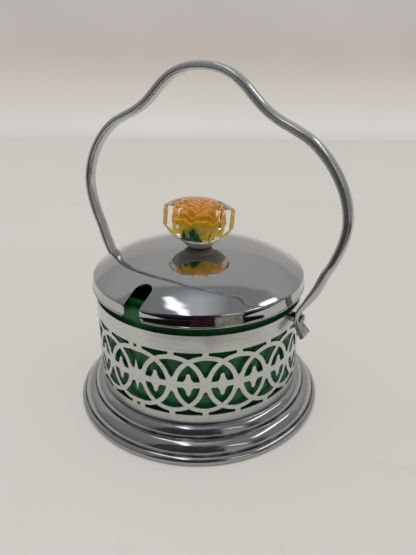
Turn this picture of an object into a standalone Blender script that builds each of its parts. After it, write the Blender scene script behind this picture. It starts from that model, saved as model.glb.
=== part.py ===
"""Preserve pot: a pierced metal stand with a swinging bail, a glass liner, and a lid with a clear knob.

The stand is a spun, stepped base that carries a pierced gallery. The bail turns on two shoulder rivets in
the gallery's upper band. A glass liner drops into the gallery, and the lid rests on the liner's lip. The
knob is a clear faceted block with a carved flower, held on the lid by a screw from below.

Units are metres, +Z is up, the origin is at the middle of the foot, and the bail's pivots lie on the X axis.
"""
import math

import bmesh
import bpy
from mathutils import Matrix, Vector

MM = 0.001

# Clearances and mesh settings
SEAT_GAP = 0.3 * MM
CUT_OVERRUN = 4.0 * MM
MERGE_DISTANCE = 0.001 * MM
TURN_STEPS = 40
SMALL_TURN_STEPS = 20
PIN_STEPS = 10
SMOOTH_ANGLE = math.radians(35)

# Spun base
SHEET = 0.8 * MM
DECK_MARGIN = 0.4 * MM
FOOT_CURL_HEIGHT = 4.0 * MM
FOOT_CURL_WIDTH = 2.2 * MM
FOOT_UNDERCURL = 1.2 * MM
FOOT_FLAT = 1.5 * MM
LOWER_STEP_RISE = 5.0 * MM
LOWER_STEP_RUN = 5.2 * MM
UPPER_STEP_RISE = 4.3 * MM
UPPER_STEP_RUN = 3.7 * MM

# Pierced gallery
GALLERY_RADIUS = 48.5 * MM
GALLERY_SHEET = 0.8 * MM
GALLERY_LOWER_BAND = 4.4 * MM
GALLERY_UPPER_BAND = 7.85 * MM
PIERCED_HEIGHT = 30.9 * MM
MOTIF_PITCH = 14.31 * MM
SEAM_WIDTH = 4.3 * MM
RING_BAND = 2.3 * MM
RING_CROTCH_GAP = 0.4 * MM
CROTCH_RISE = 3.3 * MM
CONNECTOR_HEIGHT = 1.35 * MM
CONNECTOR_WIDTH = 2.6 * MM
BAR_HEIGHT = 3.2 * MM
SPEAR_UPPER = 6.0 * MM
SPEAR_LOWER = 4.6 * MM
SPEAR_BASE = 1.9 * MM
SPEAR_WAIST = 1.0 * MM
SEAM_SPIKE_UPPER = 8.2 * MM
SEAM_SPIKE_LOWER = 7.6 * MM
SEAM_SPIKE_WIDTH = 2.0 * MM
ARC_STEPS = 3

# Shoulder rivets that carry the bail
PIVOT_BELOW_RIM = 3.0 * MM
RIVET_SHANK_RADIUS = 1.4 * MM
RIVET_SHOULDER_RADIUS = 2.3 * MM
RIVET_INNER_HEAD_RADIUS = 2.3 * MM
RIVET_INNER_HEAD = 0.5 * MM
RIVET_OUTER_HEAD_RADIUS = 2.2 * MM
RIVET_OUTER_HEAD = 0.7 * MM

# Bail
BAIL_BULGE = 16.0 * MM
BAIL_RISE = 100.6 * MM
BAIL_STANDOFF = 3.4 * MM
BAIL_WIDTH = 6.0 * MM
BAIL_THICKNESS = 3.7 * MM
BAIL_END_THICKNESS = 2.4 * MM
BAIL_TAIL_WIDTH = 8.4 * MM
BAIL_TAIL_LENGTH = 9.4 * MM
BAIL_TAIL_FLARE = 3.4 * MM
BAIL_FLUTE_DEPTH = 0.7 * MM
BAIL_LEAN = math.radians(-1.7)
BAIL_SUBSTEPS = 1

# Glass liner
LINER_CLEARANCE = 1.2 * MM
LINER_WALL = 4.0 * MM
LINER_FLOOR = 5.0 * MM
LINER_HEEL = 6.0 * MM
LINER_INNER_HEEL = 4.0 * MM
LINER_STAND = 10.45 * MM

# Lid
LID_OVERHANG = 3.3 * MM
LID_EDGE_DROP = 6.7 * MM
LID_CROWN_RISE = 9.6 * MM
LID_SKIRT_HEIGHT = 5.5 * MM
LID_SHOULDER = 0.7 * MM
LID_HEM = 0.35 * MM
LID_HEM_HEIGHT = 0.9 * MM
NOTCH_WIDTH = 8.0 * MM
NOTCH_DEPTH = 9.0 * MM
NOTCH_MOUTH_RADIUS = 2.0 * MM

# Knob
SCREW_RADIUS = 1.5 * MM
SCREW_HEAD_RADIUS = 3.2 * MM
SCREW_HEAD = 1.8 * MM
SCREW_REACH = 3.6 * MM
WASHER_RADIUS = 4.6 * MM
WASHER_THICKNESS = 0.8 * MM
NECK_FOOT_RADIUS = 4.4 * MM
NECK_HEIGHT = 3.2 * MM
PLUG_RADIUS = 5.4 * MM
PLUG_REACH = 1.2 * MM
KNOB_SEAT_RADIUS = 7.4 * MM
KNOB_WIDTH = 32.4 * MM
KNOB_DEPTH = 18.0 * MM
KNOB_FACE_WIDTH = 19.3 * MM
KNOB_HEIGHT = 18.6 * MM
KNOB_GIRDLE = 6.2 * MM
KNOB_CROWN_RADIUS = 33.5 * MM
KNOB_TURN = math.radians(33.0)
KNOB_LEAN = math.radians(4.5)
LEAN_HEADING = math.radians(33.3)
PETALS = 5
PETAL_STEPS = 4
PETAL_DEPTH_SHARE = 0.25
LEAF_LENGTH = 5.8 * MM
LEFT_LEAF_WIDTH = 3.2 * MM
RIGHT_LEAF_WIDTH = 4.8 * MM
LEAF_THICKNESS = 1.0 * MM
LEAF_LEAN = math.radians(4)
LEFT_LEAF_ANGLE = math.radians(-112)
RIGHT_LEAF_ANGLE = math.radians(-77)

# Radii that follow from the sizes above
DECK_RADIUS = GALLERY_RADIUS + DECK_MARGIN
UPPER_STEP_RADIUS = DECK_RADIUS + UPPER_STEP_RUN
LOWER_STEP_RADIUS = UPPER_STEP_RADIUS + LOWER_STEP_RUN
FOOT_RADIUS = LOWER_STEP_RADIUS + FOOT_CURL_WIDTH
LINER_RADIUS = GALLERY_RADIUS - GALLERY_SHEET - LINER_CLEARANCE
LID_RADIUS = LINER_RADIUS + LID_OVERHANG
BAIL_FOOT_OFFSET = GALLERY_RADIUS + BAIL_STANDOFF
BAIL_HALF_SPAN = BAIL_FOOT_OFFSET + BAIL_BULGE
NECK_TOP_RADIUS = KNOB_SEAT_RADIUS

# Size of the flower as shares of the block's width, depth and height
BLOOM_WIDTH_SHARE = 0.65
BLOOM_DEPTH_SHARE = 0.70
BLOOM_HEIGHT_SHARE = 0.83
BLOOM_WIDTH = KNOB_WIDTH * BLOOM_WIDTH_SHARE
BLOOM_DEPTH = KNOB_DEPTH * BLOOM_DEPTH_SHARE
BLOOM_HEIGHT = KNOB_HEIGHT * BLOOM_HEIGHT_SHARE

# Heights that follow from the sizes above
BASE_TOP = FOOT_CURL_HEIGHT + LOWER_STEP_RISE + UPPER_STEP_RISE
GALLERY_BOTTOM = BASE_TOP + SEAT_GAP
GALLERY_MIDDLE = GALLERY_BOTTOM + GALLERY_LOWER_BAND + PIERCED_HEIGHT / 2
GALLERY_TOP = GALLERY_MIDDLE + PIERCED_HEIGHT / 2 + GALLERY_UPPER_BAND
PIVOT_HEIGHT = GALLERY_TOP - PIVOT_BELOW_RIM
LINER_BOTTOM = BASE_TOP + SEAT_GAP
LINER_TOP = GALLERY_TOP + LINER_STAND
LID_EDGE = LINER_TOP - LID_EDGE_DROP
LID_CROWN = LINER_TOP + LID_CROWN_RISE
NECK_BOTTOM = LID_CROWN + SEAT_GAP
NECK_TOP = NECK_BOTTOM + NECK_HEIGHT
KNOB_BOTTOM = NECK_TOP + SEAT_GAP
KNOB_TOP = KNOB_BOTTOM + KNOB_HEIGHT
PLUG_TOP = KNOB_BOTTOM + PLUG_REACH
BLOOM_BOTTOM = PLUG_TOP + SEAT_GAP

# Radii of the running holes
RIVET_HOLE_RADIUS = RIVET_SHANK_RADIUS + SEAT_GAP
SCREW_HOLE_RADIUS = SCREW_RADIUS + SEAT_GAP

# Half of the lid's dome from the crown outwards: shares of the lid's radius and of the dome's rise
DOME_SHARES = ((0.24, 0.96), (0.48, 0.84), (0.68, 0.65), (0.82, 0.42), (0.92, 0.19), (0.97, 0.06))

# Right half of the bail's centre line, up to its widest place: shares of its bulge and of its rise
BAIL_SWELL_SHARES = (
    (0.015, 0.045),
    (0.202, 0.100),
    (0.385, 0.152),
    (0.601, 0.225),
    (0.784, 0.288),
    (0.936, 0.364),
    (1.000, 0.434),
)

# The same half from its widest place up to the crown: shares of its half span and of its rise
BAIL_ARCH_SHARES = (
    (0.990, 0.500),
    (0.956, 0.568),
    (0.899, 0.635),
    (0.825, 0.694),
    (0.733, 0.745),
    (0.633, 0.779),
    (0.536, 0.808),
    (0.447, 0.844),
    (0.371, 0.888),
    (0.297, 0.934),
    (0.211, 0.972),
    (0.109, 0.994),
)

# Half section of the bail at one side, from the outer crest round to the inner flat: shares of half its width
# and of its thickness, the latter measured outwards from the middle
BAIL_SECTION_SHARES = ((0.0, 0.5), (0.28, 0.46), (0.56, 0.33), (0.84, 0.07), (1.0, -0.28), (0.86, -0.5))

# Outline of the flower from its foot to its top: shares of its height and of its width
BLOOM_SHARES = (
    (0.0, 0.72),
    (0.10, 0.86),
    (0.24, 0.96),
    (0.42, 1.0),
    (0.60, 0.97),
    (0.76, 0.84),
    (0.90, 0.60),
    (1.0, 0.28),
)

# Half outline of a leaf above its stalk: shares of half its width and of its length
LEAF_SHARES = ((0.92, 0.10), (0.86, 0.34), (0.50, 0.68))
STALK_SHARE = 0.4


def make_material(name, colour, roughness, metallic, alpha=1.0, transmission=0.0):
    """A Principled BSDF with the piece's colour, roughness and metallic value."""
    material = bpy.data.materials.new(name)
    material.use_nodes = True
    shader = material.node_tree.nodes["Principled BSDF"]
    shader.inputs["Base Color"].default_value = (*colour, 1.0)
    shader.inputs["Roughness"].default_value = roughness
    shader.inputs["Metallic"].default_value = metallic
    shader.inputs["Alpha"].default_value = alpha
    shader.inputs["Transmission Weight"].default_value = transmission
    return material


def finish_mesh(name, bm, material, smooth=True):
    """Closes a bmesh into a named object with outward faces and smooth round surfaces."""
    bmesh.ops.remove_doubles(bm, verts=bm.verts, dist=MERGE_DISTANCE)
    bmesh.ops.recalc_face_normals(bm, faces=bm.faces)
    mesh = bpy.data.meshes.new(name)
    bm.to_mesh(mesh)
    bm.free()
    if smooth:
        mesh.shade_smooth()
        mesh.set_sharp_from_angle(angle=SMOOTH_ANGLE)
    piece = bpy.data.objects.new(name, mesh)
    bpy.context.scene.collection.objects.link(piece)
    if material:
        mesh.materials.append(material)
    return piece


def make_cutter(name, bm):
    """A tool for a cut, which is left out of the model."""
    cutter = finish_mesh(name, bm, None, smooth=False)
    cutter.hide_render = True
    cutter.display_type = "WIRE"
    return cutter


def cut(piece, cutter):
    """Takes the cutter's shape out of a piece."""
    modifier = piece.modifiers.new(cutter.name, "BOOLEAN")
    modifier.operation = "DIFFERENCE"
    modifier.solver = "EXACT"
    modifier.object = cutter


def quarter_arc(centre, run, rise, steps, start, end):
    """Points of an ellipse of half axes run and rise, between two angles given in quarter turns."""
    points = []
    for index in range(steps + 1):
        angle = (start + (end - start) * index / steps) * math.pi / 2
        points.append((centre[0] + run * math.cos(angle), centre[1] + rise * math.sin(angle)))
    return points


def without_doubles(points):
    """The same path with each repeated point left out."""
    kept = [points[0]]
    for point in points[1:]:
        if math.dist(point, kept[-1]) > MERGE_DISTANCE:
            kept.append(point)
    return kept


def offset_path(path, distance):
    """A path of (radius, height) points moved to its right-hand side, with mitred corners."""
    directions = []
    for first, second in zip(path, path[1:]):
        length = math.dist(first, second)
        directions.append(((second[0] - first[0]) / length, (second[1] - first[1]) / length))
    moved = []
    for index, point in enumerate(path):
        before = directions[max(index - 1, 0)]
        after = directions[min(index, len(directions) - 1)]
        normal = (before[1] + after[1], -before[0] - after[0])
        scale = distance / (1 + before[0] * after[0] + before[1] * after[1])
        moved.append((point[0] + normal[0] * scale, point[1] + normal[1] * scale))
    return moved


def sheet_outline(path, thickness):
    """The closed outline of a sheet whose outer face follows a path."""
    inner = offset_path(path, thickness)
    return path + inner[::-1]


def turned_bmesh(outline, steps, closed):
    """Spins (radius, height) points about the Z axis. An open outline starts and ends on the axis."""
    bm = bmesh.new()
    verts = [bm.verts.new((radius, 0, height)) for radius, height in outline]
    edges = [bm.edges.new(pair) for pair in zip(verts, verts[1:])]
    if closed:
        edges.append(bm.edges.new((verts[-1], verts[0])))
    bmesh.ops.spin(
        bm,
        geom=verts + edges,
        cent=(0, 0, 0),
        axis=(0, 0, 1),
        angle=math.tau,
        steps=steps,
        use_merge=True,
    )
    bmesh.ops.remove_doubles(bm, verts=bm.verts, dist=MERGE_DISTANCE)
    return bm


def cylinder_bmesh(radius, low, high, steps):
    """A plain cylinder along Z, for cuts."""
    return turned_bmesh([(0, low), (radius, low), (radius, high), (0, high)], steps, closed=False)


def extruded_bmesh(outline, direction):
    """A closed flat outline drawn out along a direction."""
    bm = bmesh.new()
    face = bm.faces.new([bm.verts.new(point) for point in outline])
    drawn = bmesh.ops.extrude_face_region(bm, geom=[face])
    verts = [item for item in drawn["geom"] if isinstance(item, bmesh.types.BMVert)]
    bmesh.ops.translate(bm, verts=verts, vec=direction)
    return bm


def make_base(chrome):
    """The spun base: a flat deck, two rounded steps and a curled foot."""
    curl_middle = FOOT_CURL_HEIGHT / 2
    step_foot = FOOT_CURL_HEIGHT + LOWER_STEP_RISE
    path = [(0, BASE_TOP)]
    path += quarter_arc((DECK_RADIUS, step_foot), UPPER_STEP_RUN, UPPER_STEP_RISE, 4, 1, 0)
    path += quarter_arc((UPPER_STEP_RADIUS, FOOT_CURL_HEIGHT), LOWER_STEP_RUN, LOWER_STEP_RISE, 4, 1, 0)
    path += quarter_arc((LOWER_STEP_RADIUS, curl_middle), FOOT_CURL_WIDTH, curl_middle, 2, 1, 0)
    under_radius = FOOT_RADIUS - FOOT_UNDERCURL
    path += quarter_arc((under_radius, curl_middle), FOOT_UNDERCURL, curl_middle, 2, 0, -1)
    path.append((under_radius - FOOT_FLAT, 0))
    outline = sheet_outline(without_doubles(path), SHEET)
    return finish_mesh("base", turned_bmesh(outline, TURN_STEPS, closed=False), chrome)


def spaced(first, last, steps):
    """Evenly spaced values from first to last, both included."""
    return [first + (last - first) * index / steps for index in range(steps + 1)]


def ellipse_side(value, half_value, half_result):
    """The other coordinate of an ellipse about the origin, never negative."""
    share = min(abs(value) / half_value, 1)
    return half_result * math.sqrt(1 - share * share)


def arc_crossing(outer, inner, low, high):
    """The height between low and high at which two edges, given as functions of height, meet."""
    for _ in range(40):
        middle = (low + high) / 2
        if outer(middle) > inner(middle):
            low = middle
        else:
            high = middle
    return (low + high) / 2


def motif_quarter(pitch, spear, band):
    """One quarter of a pierced motif, as flat outlines that share their edges.

    The first coordinate runs along the strip from the middle of a spear to the middle of the next ring, and
    the second runs up from the middle of the bar. Each ring is an ellipse about the strip's middle line, and
    this quarter holds the upper left of its own ring and the upper right of the ring before it.
    """
    half_pitch = pitch / 2
    half_height = PIERCED_HEIGHT / 2
    ring_outer = (pitch - RING_CROTCH_GAP / 2, half_height - CONNECTOR_HEIGHT)
    ring_inner = (ring_outer[0] - RING_BAND, ring_outer[1] - RING_BAND)
    band_edge = half_height + band
    bar_edge = BAR_HEIGHT / 2
    connector_edge = half_pitch - CONNECTOR_WIDTH / 2

    def before_outer(height):
        return ellipse_side(height, ring_outer[1], ring_outer[0]) - half_pitch

    def before_inner(height):
        return ellipse_side(height, ring_inner[1], ring_inner[0]) - half_pitch

    def own_inner(height):
        return half_pitch - ellipse_side(height, ring_inner[1], ring_inner[0])

    def own_outer_height(place):
        return ellipse_side(half_pitch - place, ring_outer[0], ring_outer[1])

    def own_inner_height(place):
        return ellipse_side(half_pitch - place, ring_inner[0], ring_inner[1])

    cross = arc_crossing(before_outer, own_inner, CROTCH_RISE, ring_inner[1])
    crossing = (before_outer(cross), cross)
    apex = own_inner_height(0)
    outer_edge = [(before_outer(height), height) for height in spaced(CROTCH_RISE, cross, ARC_STEPS)[1:-1]]
    inner_edge = [(before_inner(height), height) for height in spaced(apex, bar_edge, ARC_STEPS)[1:]]
    bar = [(0, 0), (half_pitch, 0), (half_pitch, bar_edge), inner_edge[-1], (SPEAR_BASE, bar_edge)]
    bar += [(SPEAR_WAIST, (bar_edge + spear) / 2), (0, spear)]
    web = [(half_pitch, bar_edge), (half_pitch, CROTCH_RISE)] + outer_edge + [crossing, (0, apex)] + inner_edge
    ring = [(0, apex), crossing]
    ring += [(place, own_inner_height(place)) for place in spaced(crossing[0], half_pitch, 2)[1:]]
    ring += [(half_pitch, half_height), (connector_edge, half_height)]
    ring += [(place, own_outer_height(place)) for place in spaced(connector_edge, 0, 2)]
    rim = [(0, half_height), (connector_edge, half_height), (half_pitch, half_height)]
    rim += [(half_pitch, band_edge), (0, band_edge)]
    return [bar, web, ring, rim]


def seam_quarter(spike, band):
    """One quarter of the narrow piece at the strip's seam, as flat outlines that share their edges."""
    half_seam = SEAM_WIDTH / 2
    half_height = PIERCED_HEIGHT / 2
    ring_outer = half_height - CONNECTOR_HEIGHT
    ring_inner = ring_outer - RING_BAND
    hole_edge = half_seam - CONNECTOR_WIDTH / 2
    bar_edge = BAR_HEIGHT / 2
    bar = [(0, 0), (half_seam, 0), (half_seam, bar_edge), (0, bar_edge)]
    tooth = [(0, bar_edge), (half_seam, bar_edge), (half_seam, CROTCH_RISE)]
    tooth += [(SEAM_SPIKE_WIDTH / 2, CROTCH_RISE), (0, spike)]
    ring = [(0, ring_inner), (half_seam, ring_inner), (half_seam, half_height), (hole_edge, half_height)]
    ring += [(hole_edge, ring_outer), (0, ring_outer)]
    rim = [(0, half_height), (hole_edge, half_height), (half_seam, half_height)]
    rim += [(half_seam, half_height + band), (0, half_height + band)]
    return [bar, tooth, ring, rim]


def add_mirrored(bm, outline, start, along, up):
    """Adds a flat outline to the strip, mirrored along it or up it where a sign is negative."""
    points = [bm.verts.new((start + along * place, 0, up * height)) for place, height in outline]
    bm.faces.new(points)


def pivot_hole_tool(name, reach):
    """A round tool along the bail's pivot axis, for a running hole at each side."""
    tool = make_cutter(name, cylinder_bmesh(RIVET_HOLE_RADIUS, -reach, reach, PIN_STEPS))
    tool.location = (0, 0, PIVOT_HEIGHT)
    tool.rotation_euler = (0, math.pi / 2, 0)
    return tool


def make_gallery(chrome):
    """The gallery: a strip that is pierced flat, rolled up, joined at its seam and given its thickness."""
    girth = math.tau * GALLERY_RADIUS
    count = round((girth - SEAM_WIDTH) / MOTIF_PITCH)
    pitch = (girth - SEAM_WIDTH) / count
    seam_start = -girth / 4
    bm = bmesh.new()
    upper = (1, SPEAR_UPPER, SEAM_SPIKE_UPPER, GALLERY_UPPER_BAND)
    lower = (-1, SPEAR_LOWER, SEAM_SPIKE_LOWER, GALLERY_LOWER_BAND)
    for up, spear, spike, band in (upper, lower):
        for along in (1, -1):
            for outline in motif_quarter(pitch, spear, band):
                for index in range(count):
                    middle = seam_start + SEAM_WIDTH / 2 + pitch * (index + 1 / 2)
                    add_mirrored(bm, outline, middle, along, up)
            for outline in seam_quarter(spike, band):
                add_mirrored(bm, outline, seam_start, along, up)
    bmesh.ops.triangulate(bm, faces=bm.faces, ngon_method="EAR_CLIP")
    for vert in bm.verts:
        angle = vert.co.x / GALLERY_RADIUS
        height = GALLERY_MIDDLE + vert.co.z
        vert.co = (GALLERY_RADIUS * math.cos(angle), GALLERY_RADIUS * math.sin(angle), height)
    bmesh.ops.remove_doubles(bm, verts=bm.verts, dist=MERGE_DISTANCE)
    drawn = bmesh.ops.extrude_face_region(bm, geom=bm.faces[:])
    inner_share = 1 - GALLERY_SHEET / GALLERY_RADIUS
    for vert in drawn["geom"]:
        if isinstance(vert, bmesh.types.BMVert):
            vert.co.x *= inner_share
            vert.co.y *= inner_share
    gallery = finish_mesh("gallery", bm, chrome)
    cut(gallery, pivot_hole_tool("gallery_hole_tool", GALLERY_RADIUS + CUT_OVERRUN))
    return gallery


def make_rivet(name, side, chrome):
    """A shoulder rivet: a peened head inside the gallery, a shoulder for the bail and a low domed head."""
    band_inner = GALLERY_RADIUS - GALLERY_SHEET - SEAT_GAP
    shoulder_start = GALLERY_RADIUS + SEAT_GAP
    bail_inner = BAIL_FOOT_OFFSET - BAIL_END_THICKNESS / 2
    bail_outer = BAIL_FOOT_OFFSET + BAIL_END_THICKNESS / 2
    outline = [
        (0, band_inner - RIVET_INNER_HEAD),
        (RIVET_INNER_HEAD_RADIUS, band_inner - RIVET_INNER_HEAD),
        (RIVET_INNER_HEAD_RADIUS, band_inner),
        (RIVET_SHANK_RADIUS, band_inner),
        (RIVET_SHANK_RADIUS, shoulder_start),
        (RIVET_SHOULDER_RADIUS, shoulder_start),
        (RIVET_SHOULDER_RADIUS, bail_inner - SEAT_GAP),
        (RIVET_SHANK_RADIUS, bail_inner - SEAT_GAP),
        (RIVET_SHANK_RADIUS, bail_outer + SEAT_GAP),
        (RIVET_OUTER_HEAD_RADIUS, bail_outer + SEAT_GAP),
        (RIVET_OUTER_HEAD_RADIUS, bail_outer + SEAT_GAP + RIVET_OUTER_HEAD / 3),
        (RIVET_OUTER_HEAD_RADIUS * 2 / 3, bail_outer + SEAT_GAP + RIVET_OUTER_HEAD),
        (0, bail_outer + SEAT_GAP + RIVET_OUTER_HEAD),
    ]
    rivet = finish_mesh(name, turned_bmesh(outline, PIN_STEPS, closed=False), chrome)
    rivet.location = (0, 0, PIVOT_HEIGHT)
    rivet.rotation_euler = (0, side * math.pi / 2, 0)
    return rivet


def smooth_through(points, substeps):
    """A Catmull-Rom curve through points, with substeps pieces between each two."""
    padded = [points[0]] + list(points) + [points[-1]]
    curve = []
    for index in range(1, len(padded) - 2):
        p0, p1, p2, p3 = (Vector(padded[index + step]) for step in (-1, 0, 1, 2))
        for step in range(substeps):
            t = step / substeps
            bend = 2 * p0 - 5 * p1 + 4 * p2 - p3
            twist = 3 * p1 - p0 - 3 * p2 + p3
            curve.append((2 * p1 + (p2 - p0) * t + bend * t**2 + twist * t**3) / 2)
    curve.append(Vector(points[-1]))
    return curve


def bail_stations():
    """Centre line of the bail from the right tail over the top to the left tail, as (across, up) points."""
    half = [
        (BAIL_FOOT_OFFSET + BAIL_TAIL_FLARE, -BAIL_TAIL_LENGTH),
        (BAIL_FOOT_OFFSET + BAIL_TAIL_FLARE / 2, -BAIL_TAIL_LENGTH * 5 / 8),
        (BAIL_FOOT_OFFSET + BAIL_TAIL_FLARE / 8, -BAIL_TAIL_LENGTH * 3 / 8),
        (BAIL_FOOT_OFFSET, -RIVET_OUTER_HEAD_RADIUS),
        (BAIL_FOOT_OFFSET, RIVET_OUTER_HEAD_RADIUS),
    ]
    half += [(BAIL_FOOT_OFFSET + BAIL_BULGE * swell, BAIL_RISE * up) for swell, up in BAIL_SWELL_SHARES]
    half += [(BAIL_HALF_SPAN * across, BAIL_RISE * up) for across, up in BAIL_ARCH_SHARES]
    points = half + [(0, BAIL_RISE)] + [(-across, up) for across, up in reversed(half)]
    return smooth_through(points, BAIL_SUBSTEPS)


def bail_section(up):
    """Width, thickness and share of tail in the bail's section at a height above its pivot."""
    if up >= 2 * RIVET_OUTER_HEAD_RADIUS:
        blend = min((up - 2 * RIVET_OUTER_HEAD_RADIUS) / BAIL_TAIL_LENGTH, 1)
        return BAIL_WIDTH, BAIL_END_THICKNESS + (BAIL_THICKNESS - BAIL_END_THICKNESS) * blend, 0
    if up >= -RIVET_OUTER_HEAD_RADIUS:
        return BAIL_WIDTH, BAIL_END_THICKNESS, 0
    blend = (-up - RIVET_OUTER_HEAD_RADIUS) / (BAIL_TAIL_LENGTH - RIVET_OUTER_HEAD_RADIUS)
    return BAIL_WIDTH + (BAIL_TAIL_WIDTH - BAIL_WIDTH) * blend, BAIL_END_THICKNESS, min(2 * blend, 1)


def make_bail(chrome):
    """The bail: a half-round strip lofted along its arch, with flattened ends and fluted, flared tails."""
    stations = bail_stations()
    bm = bmesh.new()
    rings = []
    for index, station in enumerate(stations):
        before = stations[max(index - 1, 0)]
        after = stations[min(index + 1, len(stations) - 1)]
        along = (after - before).normalized()
        outward = Vector((along.y, -along.x))
        width, thickness, tail = bail_section(station.y)
        ring = []
        section = list(BAIL_SECTION_SHARES)
        section += [(-side, out) for side, out in reversed(BAIL_SECTION_SHARES[1:])]
        for number, (side, out) in enumerate(section):
            flat = BAIL_SECTION_SHARES[0][1] if out > 0 else out
            fluted = BAIL_FLUTE_DEPTH * tail if out > 0 and min(number, len(section) - number) % 2 else 0
            place = station + outward * (thickness * (out + (flat - out) * tail) - fluted)
            ring.append(bm.verts.new((place.x, side * width / 2, place.y)))
        rings.append(ring)
    for first, second in zip(rings, rings[1:]):
        for index, vert in enumerate(first):
            following = (index + 1) % len(first)
            bm.faces.new((vert, first[following], second[following], second[index]))
    bm.faces.new(rings[0])
    bm.faces.new(rings[-1])
    bail = finish_mesh("bail", bm, chrome)
    bail.location = (0, 0, PIVOT_HEIGHT)
    bail.rotation_euler = (BAIL_LEAN, 0, 0)
    cut(bail, pivot_hole_tool("bail_hole_tool", BAIL_FOOT_OFFSET + CUT_OVERRUN))
    return bail


def make_liner(glass):
    """The glass liner: a straight cup with a rounded heel and a rounded lip."""
    inner_radius = LINER_RADIUS - LINER_WALL
    lip = LINER_WALL / 2
    heel = (LINER_RADIUS - LINER_HEEL, LINER_BOTTOM + LINER_HEEL)
    inner_floor = LINER_BOTTOM + LINER_FLOOR
    inner_heel = (inner_radius - LINER_INNER_HEEL, inner_floor + LINER_INNER_HEEL)
    outline = [(0, LINER_BOTTOM)]
    outline += quarter_arc(heel, LINER_HEEL, LINER_HEEL, 2, -1, 0)
    outline += quarter_arc((LINER_RADIUS - lip, LINER_TOP - lip), lip, lip, 4, 0, 2)
    outline += quarter_arc(inner_heel, LINER_INNER_HEEL, LINER_INNER_HEEL, 2, 0, -1)
    outline.append((0, inner_floor))
    return finish_mesh("glass_liner", turned_bmesh(outline, TURN_STEPS, closed=False), glass)


def lid_outline():
    """The closed outline of the lid's sheet: a dome, a short shoulder and an upright, hemmed skirt."""
    skirt_top = LID_EDGE + LID_SKIRT_HEIGHT
    dome_rise = LID_CROWN - skirt_top
    wall = LID_RADIUS - LID_HEM
    outer = [(SCREW_HOLE_RADIUS, LID_CROWN)]
    outer += [(LID_RADIUS * out, skirt_top + dome_rise * up) for out, up in DOME_SHARES]
    outer += [(wall - LID_SHOULDER / 3, skirt_top), (wall, skirt_top - LID_SHOULDER), (wall, LID_EDGE)]
    inner = offset_path(outer, SHEET)
    hem = [(wall, LID_EDGE + LID_HEM_HEIGHT), (LID_RADIUS, LID_EDGE + LID_HEM_HEIGHT / 2)]
    return outer[:-1] + hem + outer[-1:] + inner[::-1]


def notch_cutters():
    """Two tools for the spoon notch: a slot cut down through the dome, and a rounded mouth in the skirt."""
    half_width = NOTCH_WIDTH / 2
    inner_end = -(LID_RADIUS - NOTCH_DEPTH)
    outer_end = -(LID_RADIUS + CUT_OVERRUN)
    low = LID_EDGE - CUT_OVERRUN
    arc = quarter_arc((0, inner_end - half_width), half_width, half_width, 8, 0, 2)
    slot = [(x, y, low) for x, y in [(half_width, outer_end)] + arc + [(-half_width, outer_end)]]
    height = LID_CROWN + CUT_OVERRUN - low
    slot_tool = make_cutter("notch_slot_tool", extruded_bmesh(slot, Vector((0, 0, height))))
    radius = NOTCH_MOUTH_RADIUS
    right = quarter_arc((half_width + radius, LID_EDGE + radius), -radius, -radius, 4, 1, 0)
    left = [(-x, z) for x, z in reversed(right)]
    mouth = [(half_width + radius, low)] + right + left + [(-half_width - radius, low)]
    outline = [(x, outer_end, z) for x, z in mouth]
    depth = NOTCH_DEPTH / 2 + CUT_OVERRUN
    mouth_tool = make_cutter("notch_mouth_tool", extruded_bmesh(outline, Vector((0, depth, 0))))
    return slot_tool, mouth_tool


def make_lid(chrome):
    """The lid: a thin dome with an upright, hemmed skirt, a screw hole and a notch for the spoon."""
    lid = finish_mesh("lid", turned_bmesh(lid_outline(), TURN_STEPS, closed=True), chrome)
    for tool in notch_cutters():
        cut(lid, tool)
    return lid


def make_screw(steel):
    """The knob's screw, put in from under the lid."""
    washer_top = LID_CROWN - SHEET - SEAT_GAP
    head_top = washer_top - WASHER_THICKNESS - SEAT_GAP
    outline = [
        (0, head_top - SCREW_HEAD),
        (SCREW_HEAD_RADIUS * 2 / 3, head_top - SCREW_HEAD),
        (SCREW_HEAD_RADIUS, head_top - SCREW_HEAD / 2),
        (SCREW_HEAD_RADIUS, head_top),
        (SCREW_RADIUS, head_top),
        (SCREW_RADIUS, NECK_BOTTOM + SCREW_REACH),
        (0, NECK_BOTTOM + SCREW_REACH),
    ]
    return finish_mesh("knob_screw", turned_bmesh(outline, PIN_STEPS, closed=False), steel)


def make_washer(steel):
    """The washer between the screw's head and the lid."""
    top = LID_CROWN - SHEET - SEAT_GAP
    outline = [
        (SCREW_HOLE_RADIUS, top),
        (WASHER_RADIUS, top),
        (WASHER_RADIUS, top - WASHER_THICKNESS),
        (SCREW_HOLE_RADIUS, top - WASHER_THICKNESS),
    ]
    return finish_mesh("knob_washer", turned_bmesh(outline, SMALL_TURN_STEPS, closed=True), steel)


def make_plug(plaster):
    """The cast plug that fills the knob's mouth and flares into its neck, with a blind hole for the screw."""
    bore_top = NECK_BOTTOM + SCREW_REACH + SEAT_GAP
    outline = [(0, NECK_BOTTOM)]
    flare = NECK_TOP_RADIUS - NECK_FOOT_RADIUS
    outline += quarter_arc((NECK_FOOT_RADIUS, NECK_TOP), flare, NECK_HEIGHT, 3, -1, 0)
    outline += [(PLUG_RADIUS, NECK_TOP), (PLUG_RADIUS, PLUG_TOP), (0, PLUG_TOP)]
    bm = turned_bmesh(outline, SMALL_TURN_STEPS, closed=False)
    lean_knob(bm)
    plug = finish_mesh("knob_plug", bm, plaster)
    bore = cylinder_bmesh(SCREW_HOLE_RADIUS, NECK_BOTTOM - NECK_HEIGHT, bore_top, PIN_STEPS)
    cut(plug, make_cutter("screw_bore_tool", bore))
    return plug


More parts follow.
